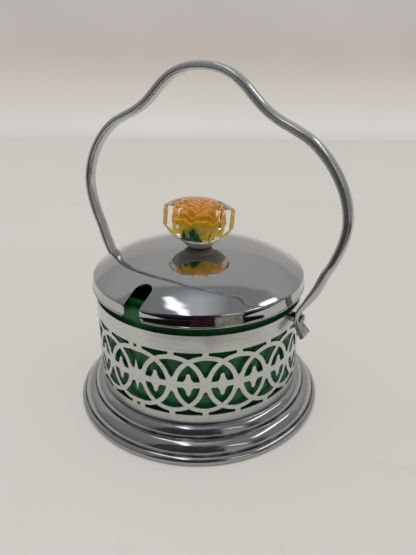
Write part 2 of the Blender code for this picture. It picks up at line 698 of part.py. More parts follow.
def bloom_bmesh(clearance):
    """The carved flower: a bud of turned petals, wider than deep, grown all round by a clearance."""
    around = PETALS * PETAL_STEPS
    bm = bmesh.new()
    rings = []
    for rise, spread in BLOOM_SHARES:
        height = BLOOM_BOTTOM - clearance + (BLOOM_HEIGHT + 2 * clearance) * rise
        ring = []
        for step in range(around):
            angle = math.tau * step / around
            lobe = 1 - PETAL_DEPTH_SHARE * rise * (1 - abs(math.cos(PETALS * angle / 2 + rise)))
            half_width = BLOOM_WIDTH / 2 * lobe * spread + clearance
            half_depth = BLOOM_DEPTH / 2 * lobe * spread + clearance
            ring.append(bm.verts.new((half_width * math.cos(angle), half_depth * math.sin(angle), height)))
        rings.append(ring)
    for first, second in zip(rings, rings[1:]):
        for step in range(around):
            following = (step + 1) % around
            bm.faces.new((first[step], first[following], second[following], second[step]))
    bm.faces.new(rings[0])
    bm.faces.new(rings[-1])
    bmesh.ops.recalc_face_normals(bm, faces=bm.faces)
    return bm


def bloom_radius(angle):
    """How far the flower reaches from its axis in a direction, before the knob is turned."""
    across = math.cos(angle) / (BLOOM_WIDTH / 2)
    deep = math.sin(angle) / (BLOOM_DEPTH / 2)
    return 1 / math.hypot(across, deep)


def turn_knob(bm):
    """Turns a piece of the knob about the lid's axis, to its place on the screw."""
    bmesh.ops.rotate(bm, verts=bm.verts, cent=(0, 0, 0), matrix=Matrix.Rotation(KNOB_TURN, 3, "Z"))


def lean_knob(bm):
    """Tips a piece of the knob above its level foot, as it was cast onto its screw a little crooked."""
    heading = Vector((math.cos(LEAN_HEADING), math.sin(LEAN_HEADING), 0))
    tilt = Matrix.Rotation(KNOB_LEAN, 3, Vector((0, 0, 1)).cross(heading))
    raised = [vert for vert in bm.verts if vert.co.z > NECK_BOTTOM + MERGE_DISTANCE]
    bmesh.ops.rotate(bm, verts=raised, cent=(0, 0, NECK_BOTTOM), matrix=tilt)


def knob_bmesh():
    """The clear block: a turned crown and underside, cut flat on six upright sides."""
    half_width = KNOB_WIDTH / 2
    outer = half_width + CUT_OVERRUN
    crown_middle = KNOB_TOP - KNOB_CROWN_RADIUS
    girdle = KNOB_BOTTOM + KNOB_GIRDLE
    outline = [(0, KNOB_BOTTOM), (KNOB_SEAT_RADIUS, KNOB_BOTTOM)]
    for share in (1 / 3, 2 / 3, 1):
        radius = KNOB_SEAT_RADIUS + (outer - KNOB_SEAT_RADIUS) * share
        outline.append((radius, KNOB_BOTTOM + (girdle - KNOB_BOTTOM) * share ** (4 / 3)))
    for share in (1, 3 / 4, 1 / 2, 1 / 4):
        radius = outer * share
        outline.append((radius, crown_middle + math.sqrt(KNOB_CROWN_RADIUS**2 - radius**2)))
    outline.append((0, KNOB_TOP))
    bm = turned_bmesh(outline, SMALL_TURN_STEPS, closed=False)
    slant = math.atan2(KNOB_DEPTH / 2, half_width - KNOB_FACE_WIDTH / 2)
    side_normal = Vector((math.sin(slant), math.cos(slant), 0))
    for turn_x in (1, -1):
        for turn_y in (1, -1):
            normal = Vector((side_normal.x * turn_x, side_normal.y * turn_y, 0))
            flatten_side(bm, Vector((half_width * turn_x, 0, 0)), normal)
    for turn_y in (1, -1):
        flatten_side(bm, Vector((0, turn_y * KNOB_DEPTH / 2, 0)), Vector((0, turn_y, 0)))
    return bm


def flatten_side(bm, point, normal):
    """Cuts a closed mesh with a plane, drops what lies beyond it and closes the cut with one flat face."""
    geometry = bm.verts[:] + bm.edges[:] + bm.faces[:]
    result = bmesh.ops.bisect_plane(
        bm,
        geom=geometry,
        dist=MERGE_DISTANCE,
        plane_co=point,
        plane_no=normal,
        clear_outer=True,
    )
    rim = [item for item in result["geom_cut"] if isinstance(item, bmesh.types.BMEdge)]
    bmesh.ops.edgenet_fill(bm, edges=rim)


def leaf_bmesh(angle, width, clearance, drop):
    """A small pointed leaf beside the flower, grown by a clearance, with its stalk run down by a drop."""
    half_width = width / 2 + clearance
    stalk = half_width * STALK_SHARE
    right = [(half_width * side, LEAF_LENGTH * up) for side, up in LEAF_SHARES]
    outline = [(-stalk, -drop), (stalk, -drop)] + right + [(0, LEAF_LENGTH + 2 * clearance)]
    outline += [(-side, up) for side, up in reversed(right)]
    thickness = LEAF_THICKNESS + 2 * clearance
    bm = extruded_bmesh([(-thickness / 2, side, up) for side, up in outline], Vector((thickness, 0, 0)))
    bmesh.ops.recalc_face_normals(bm, faces=bm.faces)
    reach = bloom_radius(angle - KNOB_TURN) + 2 * SEAT_GAP + LEAF_THICKNESS / 2
    spot = Vector((reach * math.cos(angle), reach * math.sin(angle), KNOB_BOTTOM + LEAF_THICKNESS))
    turn = Matrix.Rotation(angle, 4, "Z") @ Matrix.Rotation(LEAF_LEAN, 4, "Y")
    bmesh.ops.transform(bm, matrix=Matrix.Translation(spot) @ turn, verts=bm.verts)
    return bm


def make_knob(acrylic, petal, leaf_green):
    """The clear block with its carved hollows, and the flower and leaves that fill them."""
    bm = knob_bmesh()
    turn_knob(bm)
    lean_knob(bm)
    block = finish_mesh("knob_body", bm, acrylic)
    mouth_bottom = (NECK_BOTTOM + NECK_TOP) / 2
    mouth = cylinder_bmesh(PLUG_RADIUS + SEAT_GAP, mouth_bottom, BLOOM_BOTTOM + SHEET, SMALL_TURN_STEPS)
    lean_knob(mouth)
    cut(block, make_cutter("mouth_tool", mouth))
    hollow = bloom_bmesh(SEAT_GAP)
    turn_knob(hollow)
    lean_knob(hollow)
    cut(block, make_cutter("bloom_hollow_tool", hollow))
    flower = bloom_bmesh(0)
    turn_knob(flower)
    lean_knob(flower)
    finish_mesh("rose_bloom", flower, petal)
    sides = (("left", LEFT_LEAF_ANGLE, LEFT_LEAF_WIDTH), ("right", RIGHT_LEAF_ANGLE, RIGHT_LEAF_WIDTH))
    for side, angle, width in sides:
        pocket = leaf_bmesh(angle, width, SEAT_GAP, LEAF_LENGTH / 2)
        lean_knob(pocket)
        cut(block, make_cutter(f"{side}_leaf_pocket_tool", pocket))
        leaf = leaf_bmesh(angle, width, 0, 0)
        lean_knob(leaf)
        finish_mesh(f"rose_leaf_{side}", leaf, leaf_green)
    return block


def main():
    for piece in list(bpy.data.objects):
        bpy.data.objects.remove(piece, do_unlink=True)
    chrome = make_material("chrome", (0.62, 0.62, 0.61), 0.12, 1.0)
    glass = make_material("green_glass", (0.02, 0.16, 0.07), 0.05, 0.0, transmission=0.8)
    acrylic = make_material("clear_acrylic", (0.93, 0.93, 0.90), 0.03, 0.0, transmission=1.0)
    plaster = make_material("cream_plaster", (0.62, 0.57, 0.46), 0.7, 0.0)
    petal = make_material("rose_orange", (0.80, 0.38, 0.04), 0.5, 0.0)
    leaf_green = make_material("leaf_green", (0.02, 0.10, 0.03), 0.5, 0.0)
    steel = make_material("steel", (0.45, 0.45, 0.45), 0.35, 1.0)

    make_base(chrome)
    make_gallery(chrome)
    make_rivet("pivot_rivet_right", 1, chrome)
    make_rivet("pivot_rivet_left", -1, chrome)
    make_bail(chrome)
    make_liner(glass)
    make_lid(chrome)
    make_washer(steel)
    make_screw(steel)
    make_plug(plaster)
    make_knob(acrylic, petal, leaf_green)


main()
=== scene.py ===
"""Looks of the preserve pot: chrome stand, bail and lid, green glass liner and the clear, flowered knob."""
import math
from functools import reduce

import bmesh
import bpy
from mathutils import Matrix, Vector

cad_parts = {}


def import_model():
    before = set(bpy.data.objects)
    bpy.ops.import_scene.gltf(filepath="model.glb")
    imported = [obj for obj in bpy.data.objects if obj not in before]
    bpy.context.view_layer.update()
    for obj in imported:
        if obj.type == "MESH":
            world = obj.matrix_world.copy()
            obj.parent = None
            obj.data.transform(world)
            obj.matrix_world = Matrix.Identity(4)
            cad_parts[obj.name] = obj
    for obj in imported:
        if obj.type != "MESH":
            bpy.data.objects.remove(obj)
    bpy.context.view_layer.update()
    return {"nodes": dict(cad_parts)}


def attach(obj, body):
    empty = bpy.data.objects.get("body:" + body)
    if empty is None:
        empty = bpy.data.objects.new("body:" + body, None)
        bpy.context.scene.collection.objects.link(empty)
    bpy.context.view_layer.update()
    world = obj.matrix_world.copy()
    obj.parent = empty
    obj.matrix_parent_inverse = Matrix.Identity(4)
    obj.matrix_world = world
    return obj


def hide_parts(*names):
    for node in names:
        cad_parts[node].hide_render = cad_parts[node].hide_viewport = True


MM = 0.001

# Camera, from the ellipses of the foot, gallery and lid in the photograph
CAMERA_PLACE = (119.26 * MM, -181.24 * MM, 156.97 * MM)
CAMERA_HEADING = 0.562
CAMERA_PITCH = 0.418
CAMERA_ROLL = 0.003
CAMERA_LENS = 32.12
VIEW_TURN = 0.582

# Table and wall
TABLE_EDGE = 0.149
TABLE_SIDE = 0.35
TABLE_LEFT_EDGE = 0.071
TABLE_RIGHT_EDGE = 0.030
TABLE_HEIGHT = 0.72
TABLE_GLOW = 0.90
TABLE_GLOW_SHARE = 0.7
MAT_NEAR = 0.70
MAT_FAR = 3.6
STAGE_REACH = 4.0
GROUND_COLOUR = (0.012, 0.010, 0.011)
MATT = {"Roughness": 0.9, "Specular_IOR_Level": 0.0}
WALL_DISTANCE = 0.86
WALL_TOP = 0.42
WALL_TURN = math.radians(-2.3)

# Room: fill lamp, heights at which the overhead takes over, and the dark screen in shares of a turn
FILL_SIZE = 3.0
FILL_HEIGHT = 2.6
FILL_POWER = 57.5
OVERHEAD_START = 0.25
OVERHEAD_SOLID = 0.60
LEAST_HEIGHT = 0.2
SCREEN_START = 0.383
SCREEN_END = 0.562
SCREEN_BLUR = 0.006
SCREEN_TOP = 0.90
SCREEN_TOP_SOLID = 0.84

# Mesh settings
MERGE = 0.001 * MM
OFFSET_KEPT_SHARE = 0.97
FINE_TURN = 160
KNOB_TURN_STEPS = 96
NECK_TURN_STEPS = 64
HOLE_TURN_STEPS = 32
ROLL_STEPS = 14
BAIL_SUBSTEPS = 6
SECTION_SUBSTEPS = 4
LID_SUBSTEPS = 6
BISECTIONS = 40
SMOOTH_ANGLE = math.radians(32)
FACET_ANGLE = math.radians(25)
ROUND_ANGLE = math.radians(50)
CARVED_ANGLE = math.radians(80)
PINHEAD = 0.12 * MM

# Base
SHEET = 0.8 * MM
FOOT_RADIUS = 60.0 * MM
FOOT_CURL_HEIGHT = 4.0 * MM
FOOT_CURL_WIDTH = 2.2 * MM
FOOT_UNDERCURL = 1.2 * MM
FOOT_FLAT = 1.5 * MM
LOWER_STEP_RISE = 5.0 * MM
LOWER_STEP_RUN = 5.2 * MM
UPPER_STEP_RISE = 4.3 * MM
UPPER_STEP_RUN = 3.7 * MM
ROLL_FILLET = 0.35 * MM
ROLL_END_SHARE = 0.085
ROLL_START_SHARE = 0.93
# Width of the painted shade in the base's crevices
CREVICE_SHADE_WIDTH = 0.45 * MM
LOWER_CORNER = FOOT_RADIUS - FOOT_CURL_WIDTH + ROLL_FILLET / 3
UPPER_CORNER = LOWER_CORNER - LOWER_STEP_RUN
BASE_TOP = FOOT_CURL_HEIGHT + LOWER_STEP_RISE + UPPER_STEP_RISE
SEAT_GAP = 0.3 * MM

# Gallery
GALLERY_RADIUS = 48.5 * MM
LOWER_BAND = 4.4 * MM
UPPER_BAND = 7.85 * MM
PIERCED_HEIGHT = 30.9 * MM
MOTIFS = 21
SEAM_WIDTH = 4.3 * MM
RING_BAND = 2.05 * MM
CROTCH_GAP = 0.4 * MM
CROTCH_RISE = 3.3 * MM
CONNECTOR_HEIGHT = 1.35 * MM
CONNECTOR_WIDTH = 2.6 * MM
BAR_HEIGHT = 2.85 * MM
SPEAR_UPPER = 5.5 * MM
SPEAR_LOWER = 5.4 * MM
SPEAR_BASE = 2.05 * MM
SEAM_SPIKE_UPPER = 8.2 * MM
SEAM_SPIKE_LOWER = 7.6 * MM
SEAM_SPIKE_WIDTH = 2.0 * MM
PUNCH_ROUNDING = 0.18 * MM
STRIP_FACET = 1.3 * MM
GALLERY_MIDDLE = BASE_TOP + SEAT_GAP + LOWER_BAND + PIERCED_HEIGHT / 2
GALLERY_TOP = GALLERY_MIDDLE + PIERCED_HEIGHT / 2 + UPPER_BAND
PIVOT_BELOW_RIM = 3.0 * MM
PIVOT_HEIGHT = GALLERY_TOP - PIVOT_BELOW_RIM
PIVOT_HOLE = 1.7 * MM

# Bail
BAIL_HALF_SPAN = 67.9 * MM
BAIL_RISE = 100.6 * MM
BAIL_FOOT_OFFSET = 51.9 * MM
BAIL_WIDTH = 6.0 * MM
BAIL_THICKNESS = 3.7 * MM
BAIL_END_THICKNESS = 2.4 * MM
BAIL_TAIL_WIDTH = 8.4 * MM
BAIL_TAIL_LENGTH = 7.5 * MM
BAIL_TAIL_FLARE = 3.4 * MM
TAIL_BEND_OUT = 0.42
TAIL_BEND_DOWN = 0.66
BAIL_FLUTE_DEPTH = 0.55 * MM
BAIL_FLUTES = 5
BAIL_FLUTE_EDGE = 6
BAIL_LEAN = math.radians(-1.7)
RIVET_HEAD_RADIUS = 2.2 * MM

# Liner
LINER_RADIUS = 46.5 * MM
LINER_HEIGHT = 53.6 * MM
LINER_WALL = 4.0 * MM
LINER_FLOOR = 5.0 * MM
LINER_HEEL = 6.0 * MM
LINER_INNER_HEEL = 4.0 * MM
LIP_SHADE_START = 2.4 * MM
LIP_SHADE_END = 4.6 * MM
LINER_BOTTOM = BASE_TOP + SEAT_GAP
LINER_TOP = LINER_BOTTOM + LINER_HEIGHT

# Lid
LID_RADIUS = 49.8 * MM
LID_EDGE_DROP = 6.7 * MM
LID_CROWN_RISE = 9.6 * MM
LID_EDGE = LINER_TOP - LID_EDGE_DROP
LID_CROWN = LINER_TOP + LID_CROWN_RISE
LID_SKIRT_HEIGHT = 5.5 * MM
LID_SHOULDER = 0.7 * MM
LID_HEM = 0.35 * MM
LID_HEM_HEIGHT = 0.9 * MM
LID_ROUNDING = PINHEAD * 2.5
SCREW_HOLE = 1.8 * MM
NOTCH_WIDTH = 8.0 * MM
NOTCH_DEPTH = 12.0 * MM
NOTCH_MOUTH = 2.6 * MM
NOTCH_MOUTH_REACH = NOTCH_DEPTH * 1.5

# Knob
NECK_BOTTOM = LID_CROWN + SEAT_GAP
NECK_HEIGHT = 3.2 * MM
NECK_FOOT_RADIUS = 4.4 * MM
NECK_TOP_RADIUS = 7.4 * MM
PLUG_RADIUS = 5.4 * MM
NECK_TOP = NECK_BOTTOM + NECK_HEIGHT
KNOB_BOTTOM = NECK_TOP + SEAT_GAP
KNOB_WIDTH = 32.4 * MM
KNOB_BLANK_RADIUS = KNOB_WIDTH * 0.625
UNDERSIDE_POWER = 1.5
KNOB_DEPTH = 18.0 * MM
KNOB_FACE_WIDTH = 19.3 * MM
KNOB_HEIGHT = 18.6 * MM
KNOB_GIRDLE = 10.5 * MM
KNOB_CROWN_RADIUS = 33.5 * MM
KNOB_TURN = math.radians(33.0)
KNOB_LEAN = math.radians(4.5)
LEAN_HEADING = math.radians(33.3)
KNOB_SHIFT = 0.9 * MM
COAT_RADIUS = 13.4 * MM
COAT_THICKNESS = 0.15 * MM
KNOB_TOP = KNOB_BOTTOM + KNOB_HEIGHT
BLOOM_STAND = 0.8 * MM
BLOOM_BOTTOM = KNOB_BOTTOM + BLOOM_STAND
BLOOM_WIDTH = 21.0 * MM
BLOOM_DEPTH = 13.0 * MM
BLOOM_HEIGHT = 16.2 * MM
PETAL_THICKNESS = 0.35 * MM
LEAF_SHIFT = 0.8 * MM
LEAF_STAND = 0.5 * MM
LEAF_CUP = 0.7 * MM
LEAF_GROOVE = 0.22 * MM

# Shape of a petal in shares of the flower: drop of its rim, belly, start of its curl, opening and ruffle
PETAL_DROP = 0.22
PETAL_BELLY = 0.62
PETAL_CURL_START = 0.75
PETAL_OPENING_RATE = 1.6
PETAL_SWEEP = 0.06
RUFFLE_RISE = 0.025
RUFFLE_WAVES = 7
RUFFLE_SHIFT = 5

# Shape of a leaf: its place in the flower's outline, teeth, taper, tip, cup and the slant and width of veins
LEAF_PLACE = 0.46
LEAF_TEETH = 5
LEAF_TOOTH = 0.10
LEAF_TAPER = 0.85
LEAF_TIP = 0.02
LEAF_CUP_TURN = 0.9
LEAF_VEINS = 3
VEIN_SLANT = 0.8
VEIN_DEPTH_SHARE = 0.6
VEIN_SHARPNESS = 18
MIDRIB_SHARPNESS = 60

# Rings of petals from the outside in: count, foot, reach, rise, spread, curl, first heading and foot's spread
PETAL_RING_SHARES = (
    (6, 0.350, 0.440, 0.60, 0.55, 0.030, 0.649, 0.78),
    (5, 0.330, 0.405, 0.80, 0.66, 0.030, 1.173, 0.80),
    (5, 0.240, 0.340, 0.92, 0.70, 0.020, 0.300, 0.60),
    (4, 0.130, 0.230, 1.00, 0.80, 0.010, 0.900, 0.50),
    (3, 0.040, 0.110, 0.98, 1.10, 0.000, 0.400, 0.45),
)

# Leaves: name, node, heading in degrees, half widths to the left and right and height in millimetres
LEAVES = (
    ("leaf_left", "rose_leaf_left", -124.0, 1.4, 1.3, 5.0),
    ("leaf_right", "rose_leaf_right", -101.0, 3.0, 5.0, 6.3),
)

# Half of the lid's dome: shares of the lid's radius and of the dome's rise
DOME_SHARES = (
    (0.12, 0.99), (0.24, 0.96), (0.48, 0.84), (0.68, 0.65), (0.82, 0.42), (0.92, 0.19), (0.97, 0.06),
)

# Right half of the bail's centre line above its pivot: shares of its half span and of its rise
BAIL_SHARES = (
    (0.776, 0.045), (0.824, 0.100), (0.864, 0.152), (0.906, 0.225), (0.949, 0.288), (0.985, 0.364),
    (1.000, 0.434), (0.990, 0.500), (0.956, 0.568), (0.899, 0.635), (0.825, 0.694), (0.733, 0.745),
    (0.633, 0.779), (0.536, 0.808), (0.447, 0.844), (0.371, 0.888), (0.297, 0.934), (0.211, 0.972),
    (0.109, 0.994),
)

# Half of a spear: shares of its half width and of its height above the bar
SPEAR_SHARES = (
    (1.0, 0.0), (0.93, 0.10), (0.74, 0.22), (0.62, 0.36), (0.52, 0.46), (0.47, 0.62), (0.43, 0.78),
    (0.31, 0.91), (0.15, 0.98), (0.0, 1.0),
)

# Half section of the bail: shares of half its width and of its thickness
BAIL_SECTION_SHARES = (
    (0.0, 0.5), (0.25, 0.485), (0.49, 0.435), (0.70, 0.350), (0.85, 0.235), (0.945, 0.100),
    (0.99, -0.05), (0.99, -0.19), (0.93, -0.33), (0.82, -0.43), (0.66, -0.5),
)

# Plated metals: name, colour, polish, smears, pits, ripple, haze and the radii of corners that get painted
# shade
PLATES = (
    ("sheet_chrome", (0.53, 0.545, 0.555), 0.05, 0.03, 0.6, 0.10, 0.0, ()),
    ("base_chrome", (0.47, 0.48, 0.49), 0.06, 0.04, 0.8, 0.15, 0.06, (LOWER_CORNER, UPPER_CORNER)),
    ("strip_chrome", (0.64, 0.66, 0.635), 0.22, 0.10, 0.8, 0.35, 0.0, ()),
    ("bail_chrome", (0.60, 0.605, 0.605), 0.12, 0.03, 0.05, 0.06, 0.22, ()),
    ("rivet_chrome", (0.36, 0.36, 0.355), 0.14, 0.08, 0.3, 0.10, 0.0, ()),
)

# The flower's dye from its foot to its crown: height share and colour
PETAL_DYE = (
    (0.0, (0.80, 0.58, 0.03)), (0.18, (0.68, 0.52, 0.05)), (0.38, (0.95, 0.60, 0.03)),
    (0.58, (1.0, 0.54, 0.02)), (0.78, (1.0, 0.47, 0.03)), (1.0, (1.0, 0.56, 0.20)),
)

# The wall's shown colour from the pot's foot to the wall's top: painted light, a little darker right at the
# table, brightest just above it and darker upward
WALL_PAINTED_LIGHT = (
    (0.0, (0.61, 0.60, 0.56)), (0.065, (0.665, 0.655, 0.615)), (0.20, (0.600, 0.570, 0.525)),
    (0.39, (0.490, 0.440, 0.400)), (0.60, (0.465, 0.445, 0.430)), (1.0, (0.455, 0.450, 0.445)),
)

# The room overhead, from behind the pot over its top to behind the camera: share of half a turn and colour
ROOM_OVERHEAD = (
    (0.0, (0.455, 0.45, 0.445)), (0.10, (0.455, 0.45, 0.445)), (0.20, (0.45, 0.45, 0.445)),
    (0.325, (0.44, 0.44, 0.435)), (0.337, (0.275, 0.28, 0.28)), (0.50, (0.26, 0.265, 0.27)),
    (0.66, (0.24, 0.24, 0.245)), (0.82, (0.16, 0.16, 0.165)), (1.0, (0.08, 0.08, 0.085)),
)

# The room around, with the camera's side in the middle: share of a full turn and colour
ROOM_AROUND = (
    (0.0, (0.50, 0.46, 0.43)), (0.17, (0.27, 0.255, 0.24)), (0.25, (0.19, 0.18, 0.175)),
    (0.36, (0.20, 0.195, 0.19)), (0.395, (0.03, 0.03, 0.035)), (0.55, (0.02, 0.015, 0.02)),
    (0.565, (0.44, 0.40, 0.33)), (0.62, (0.36, 0.33, 0.28)), (0.635, (0.05, 0.05, 0.06)),
    (0.655, (0.06, 0.06, 0.07)), (0.68, (0.26, 0.26, 0.25)), (0.80, (0.25, 0.24, 0.23)),
    (1.0, (0.50, 0.46, 0.43)),
)

# Lights on the ceiling, in heights above the pot: points, half width, blur, strength and colour
CEILING_LIGHTS = (
    (((-0.02, -0.26), (-0.02, 0.12)), 0.05, 0.24, 0.45, (0.95, 0.96, 1.0)),
    (((-0.27, -0.28), (-0.24, -0.17), (-0.15, -0.07), (-0.15, 0.40)), 0.005, 0.065, 1.0, (2.8, 2.85, 2.95)),
    (((0.84, -0.47), (0.69, -0.30), (0.74, 0.32)), 0.02, 0.085, 1.0, (3.4, 3.4, 3.35)),
    (((0.55, 0.95), (1.45, 1.50)), 0.03, 0.10, 1.0, (1.9, 1.9, 1.88)),
)

# Mats on the floor: tone, first and last heading in degrees, and the colours of dark and pale streaks
FLOOR_MATS = (
    ("cream", 16.0, 45.0, (0.22, 0.21, 0.15), (0.52, 0.49, 0.40)),
    ("brown", -9.0, 16.0, (0.020, 0.008, 0.010), (0.075, 0.026, 0.032)),
)


# Shared geometry helpers


def spaced(first, last, steps):
    """Evenly spaced values from first to last, both included."""
    return [first + (last - first) * index / steps for index in range(steps + 1)]


def quarter_arc(centre, run, rise, steps, start, end):
    """Points of an ellipse of half axes run and rise, between two angles given in quarter turns."""
    angles = [share * math.pi / 2 for share in spaced(start, end, steps)]
    return [(centre[0] + run * math.cos(angle), centre[1] + rise * math.sin(angle)) for angle in angles]


def without_doubles(points):
    """The same path with each repeated point left out."""
    kept = [points[0]]
    for point in points[1:]:
        if math.dist(point, kept[-1]) > MERGE:
            kept.append(point)
    return kept


def offset_path(path, distance):
    """A path of (radius, height) points moved to its right-hand side, with mitred corners."""
    directions = []
    for first, second in zip(path, path[1:]):
        length = math.dist(first, second)
        directions.append(((second[0] - first[0]) / length, (second[1] - first[1]) / length))
    moved = []
    for index, point in enumerate(path):
        before = directions[max(index - 1, 0)]
        after = directions[min(index, len(directions) - 1)]
        scale = distance / (1 + before[0] * after[0] + before[1] * after[1])
        moved.append((point[0] + (before[1] + after[1]) * scale, point[1] - (before[0] + after[0]) * scale))
    return [point for point in moved if distance_to_path(point, path) > distance * OFFSET_KEPT_SHARE]


def distance_to_path(point, path):
    """The least distance from a point to a path of straight pieces."""
    least = math.inf
    for first, second in zip(path, path[1:]):
        run = (second[0] - first[0], second[1] - first[1])
        ahead = (point[0] - first[0]) * run[0] + (point[1] - first[1]) * run[1]
        share = min(max(ahead / (run[0] ** 2 + run[1] ** 2), 0), 1)
        least = min(least, math.dist(point, (first[0] + run[0] * share, first[1] + run[1] * share)))
    return least


def smooth_through(points, substeps):
    """A Catmull-Rom curve through points, with substeps pieces between each two."""
    padded = [points[0]] + list(points) + [points[-1]]
    curve = []
    for index in range(1, len(padded) - 2):
        p0, p1, p2, p3 = (Vector(padded[index + step]) for step in (-1, 0, 1, 2))
        for step in range(substeps):
            t = step / substeps
            bend = 2 * p0 - 5 * p1 + 4 * p2 - p3
            twist = 3 * p1 - p0 - 3 * p2 + p3
            curve.append((2 * p1 + (p2 - p0) * t + bend * t**2 + twist * t**3) / 2)
    curve.append(Vector(points[-1]))
    return curve


def turned(outline, steps, closed=False):
    """Spins (radius, height) points about the Z axis. An open outline starts and ends on the axis."""
    bm = bmesh.new()
    verts = [bm.verts.new((radius, 0, height)) for radius, height in outline]
    edges = [bm.edges.new(pair) for pair in zip(verts, verts[1:])]
    if closed:
        edges.append(bm.edges.new((verts[-1], verts[0])))
    bmesh.ops.spin(
        bm, geom=verts + edges, cent=(0, 0, 0), axis=(0, 0, 1), angle=math.tau, steps=steps, use_merge=True
    )
    bmesh.ops.remove_doubles(bm, verts=bm.verts, dist=MERGE)
    bmesh.ops.recalc_face_normals(bm, faces=bm.faces)
    return bm


def everything(bm):
    """All the geometry of a bmesh."""
    return bm.verts[:] + bm.edges[:] + bm.faces[:]


def made_verts(result):
    """The vertices that a bmesh operator has made."""
    return [item for item in result["geom"] if isinstance(item, bmesh.types.BMVert)]


def extruded(points, direction):
    """A closed flat outline drawn out along a direction."""
    bm = bmesh.new()
    face = bm.faces.new([bm.verts.new(point) for point in points])
    drawn = bmesh.ops.extrude_face_region(bm, geom=[face])
    bmesh.ops.translate(bm, verts=made_verts(drawn), vec=direction)
    bmesh.ops.recalc_face_normals(bm, faces=bm.faces)
    return bm


def placed(name, data):
    """An object with this data in the scene."""
    made = bpy.data.objects.new(name, data)
    bpy.context.scene.collection.objects.link(made)
    return made


def new_piece(name, bm, material, smooth_angle=SMOOTH_ANGLE):
    """Makes a piece's object from a bmesh, smooth where it is round."""
    mesh = bpy.data.meshes.new(name)
    bm.to_mesh(mesh)
    bm.free()
    mesh.shade_smooth()
    mesh.set_sharp_from_angle(angle=smooth_angle)
    if material:
        mesh.materials.append(material)
    return placed(name, mesh)


def round_edges(piece, width, angle):
    """Rounds a piece's sharp edges and lets its large faces set the shading."""
    bevel = piece.modifiers.new("rounding", "BEVEL")
    bevel.width = width
    bevel.segments = 2
    bevel.limit_method = "ANGLE"
    bevel.angle_limit = angle
    weigh_normals(piece)


def weigh_normals(piece):
    """Shades a piece by its large faces, so that narrow roundings stay narrow."""
    weighted = piece.modifiers.new("weighted_shading", "WEIGHTED_NORMAL")
    weighted.weight = 80
    weighted.keep_sharp = True


def cut_with(piece, bm, name):
    """Takes a shape out of a piece for good."""
    tool = new_piece(name, bm, None)
    boolean = piece.modifiers.new("cut", "BOOLEAN")
    boolean.operation = "DIFFERENCE"
    boolean.solver = "EXACT"
    boolean.object = tool
    settle(piece)
    bpy.data.objects.remove(tool, do_unlink=True)


def settle(piece):
    """Keeps the mesh that a piece's modifiers give, and drops the modifiers."""
    graph = bpy.context.evaluated_depsgraph_get()
    graph.update()
    result = bpy.data.meshes.new_from_object(piece.evaluated_get(graph))
    piece.modifiers.clear()
    piece.data = result


# Shader node helpers


class Nodes:
    """A short way to add nodes to one material, group or world."""

    def __init__(self, tree):
        self.tree = tree

    def add(self, kind, *ordered, **named):
        """Adds a node. Ordered values feed its first inputs, named ones set a property or feed an input."""
        node = self.tree.nodes.new(kind)
        for key, value in named.items():
            if key.islower():
                setattr(node, key, value)
            else:
                self.fill(node, **{key: value})
        for socket, value in zip(node.inputs, ordered):
            self.feed(socket, value)
        return node

    def fill(self, node, **values):
        """Feeds the inputs that the values name, with an underscore for a space."""
        for key, value in values.items():
            self.feed(node.inputs[key.replace("_", " ")], value)

    def feed(self, socket, value):
        """Links a socket to another one, or gives it a plain value. Plain colours are opaque."""
        if isinstance(value, bpy.types.NodeSocket):
            self.tree.links.new(value, socket)
        elif socket.type == "RGBA":
            socket.default_value = (*value, 1.0)
        else:
            socket.default_value = value

    def math(self, operation, first, second=0.0, clamp=False):
        return self.add("ShaderNodeMath", first, second, operation=operation, use_clamp=clamp).outputs[0]

    def product(self, *factors):
        return reduce(lambda first, second: self.math("MULTIPLY", first, second), factors)

    def total(self, *terms):
        return reduce(lambda first, second: self.math("ADD", first, second), terms)

    def dot(self, first, second):
        return self.add("ShaderNodeVectorMath", first, second, operation="DOT_PRODUCT").outputs["Value"]

    def split(self, vector):
        return self.add("ShaderNodeSeparateXYZ", vector).outputs

    def noise(self, vector, scale, detail=2.0, roughness=0.5):
        node = self.add("ShaderNodeTexNoise", Vector=vector, Scale=scale, Detail=detail, Roughness=roughness)
        return node.outputs["Fac"]

    def streaks(self, vector, scales, detail):
        """Noise with its own scale along each axis."""
        stretched = self.add("ShaderNodeMapping", Vector=vector, Scale=scales)
        return self.noise(stretched.outputs["Vector"], 1.0, detail)

    def span(self, value, low, high, out_low=0.0, out_high=1.0):
        """Maps a range onto another and holds the result within it."""
        return self.add("ShaderNodeMapRange", value, low, high, out_low, out_high).outputs["Result"]

    def mix(self, share, first, second, blend_type="MIX"):
        node = self.add("ShaderNodeMix", share, data_type="RGBA", blend_type=blend_type)
        self.feed(node.inputs[6], first)
        self.feed(node.inputs[7], second)
        return node.outputs[2]

    def bump(self, height, strength, distance):
        node = self.add("ShaderNodeBump", Strength=strength, Distance=distance, Height=height)
        return node.outputs["Normal"]

    def object_place(self):
        return self.add("ShaderNodeTexCoord").outputs["Object"]

    def ramp(self, value, stops):
        """A colour ramp of (place, colour) stops."""
        node = self.add("ShaderNodeValToRGB", value)
        elements = node.color_ramp.elements
        while len(elements) < len(stops):
            elements.new(0.5)
        for element, (place, colour) in zip(elements, stops):
            element.position = place
            element.color = (*colour, 1.0)
        return node.outputs["Color"]

    def show(self, share, first, second):
        """Gives the material the mix of two shaders for its surface."""
        blend = self.add("ShaderNodeMixShader", share, first.outputs[0], second.outputs[0])
        self.feed(self.tree.nodes["Material Output"].inputs["Surface"], blend.outputs[0])


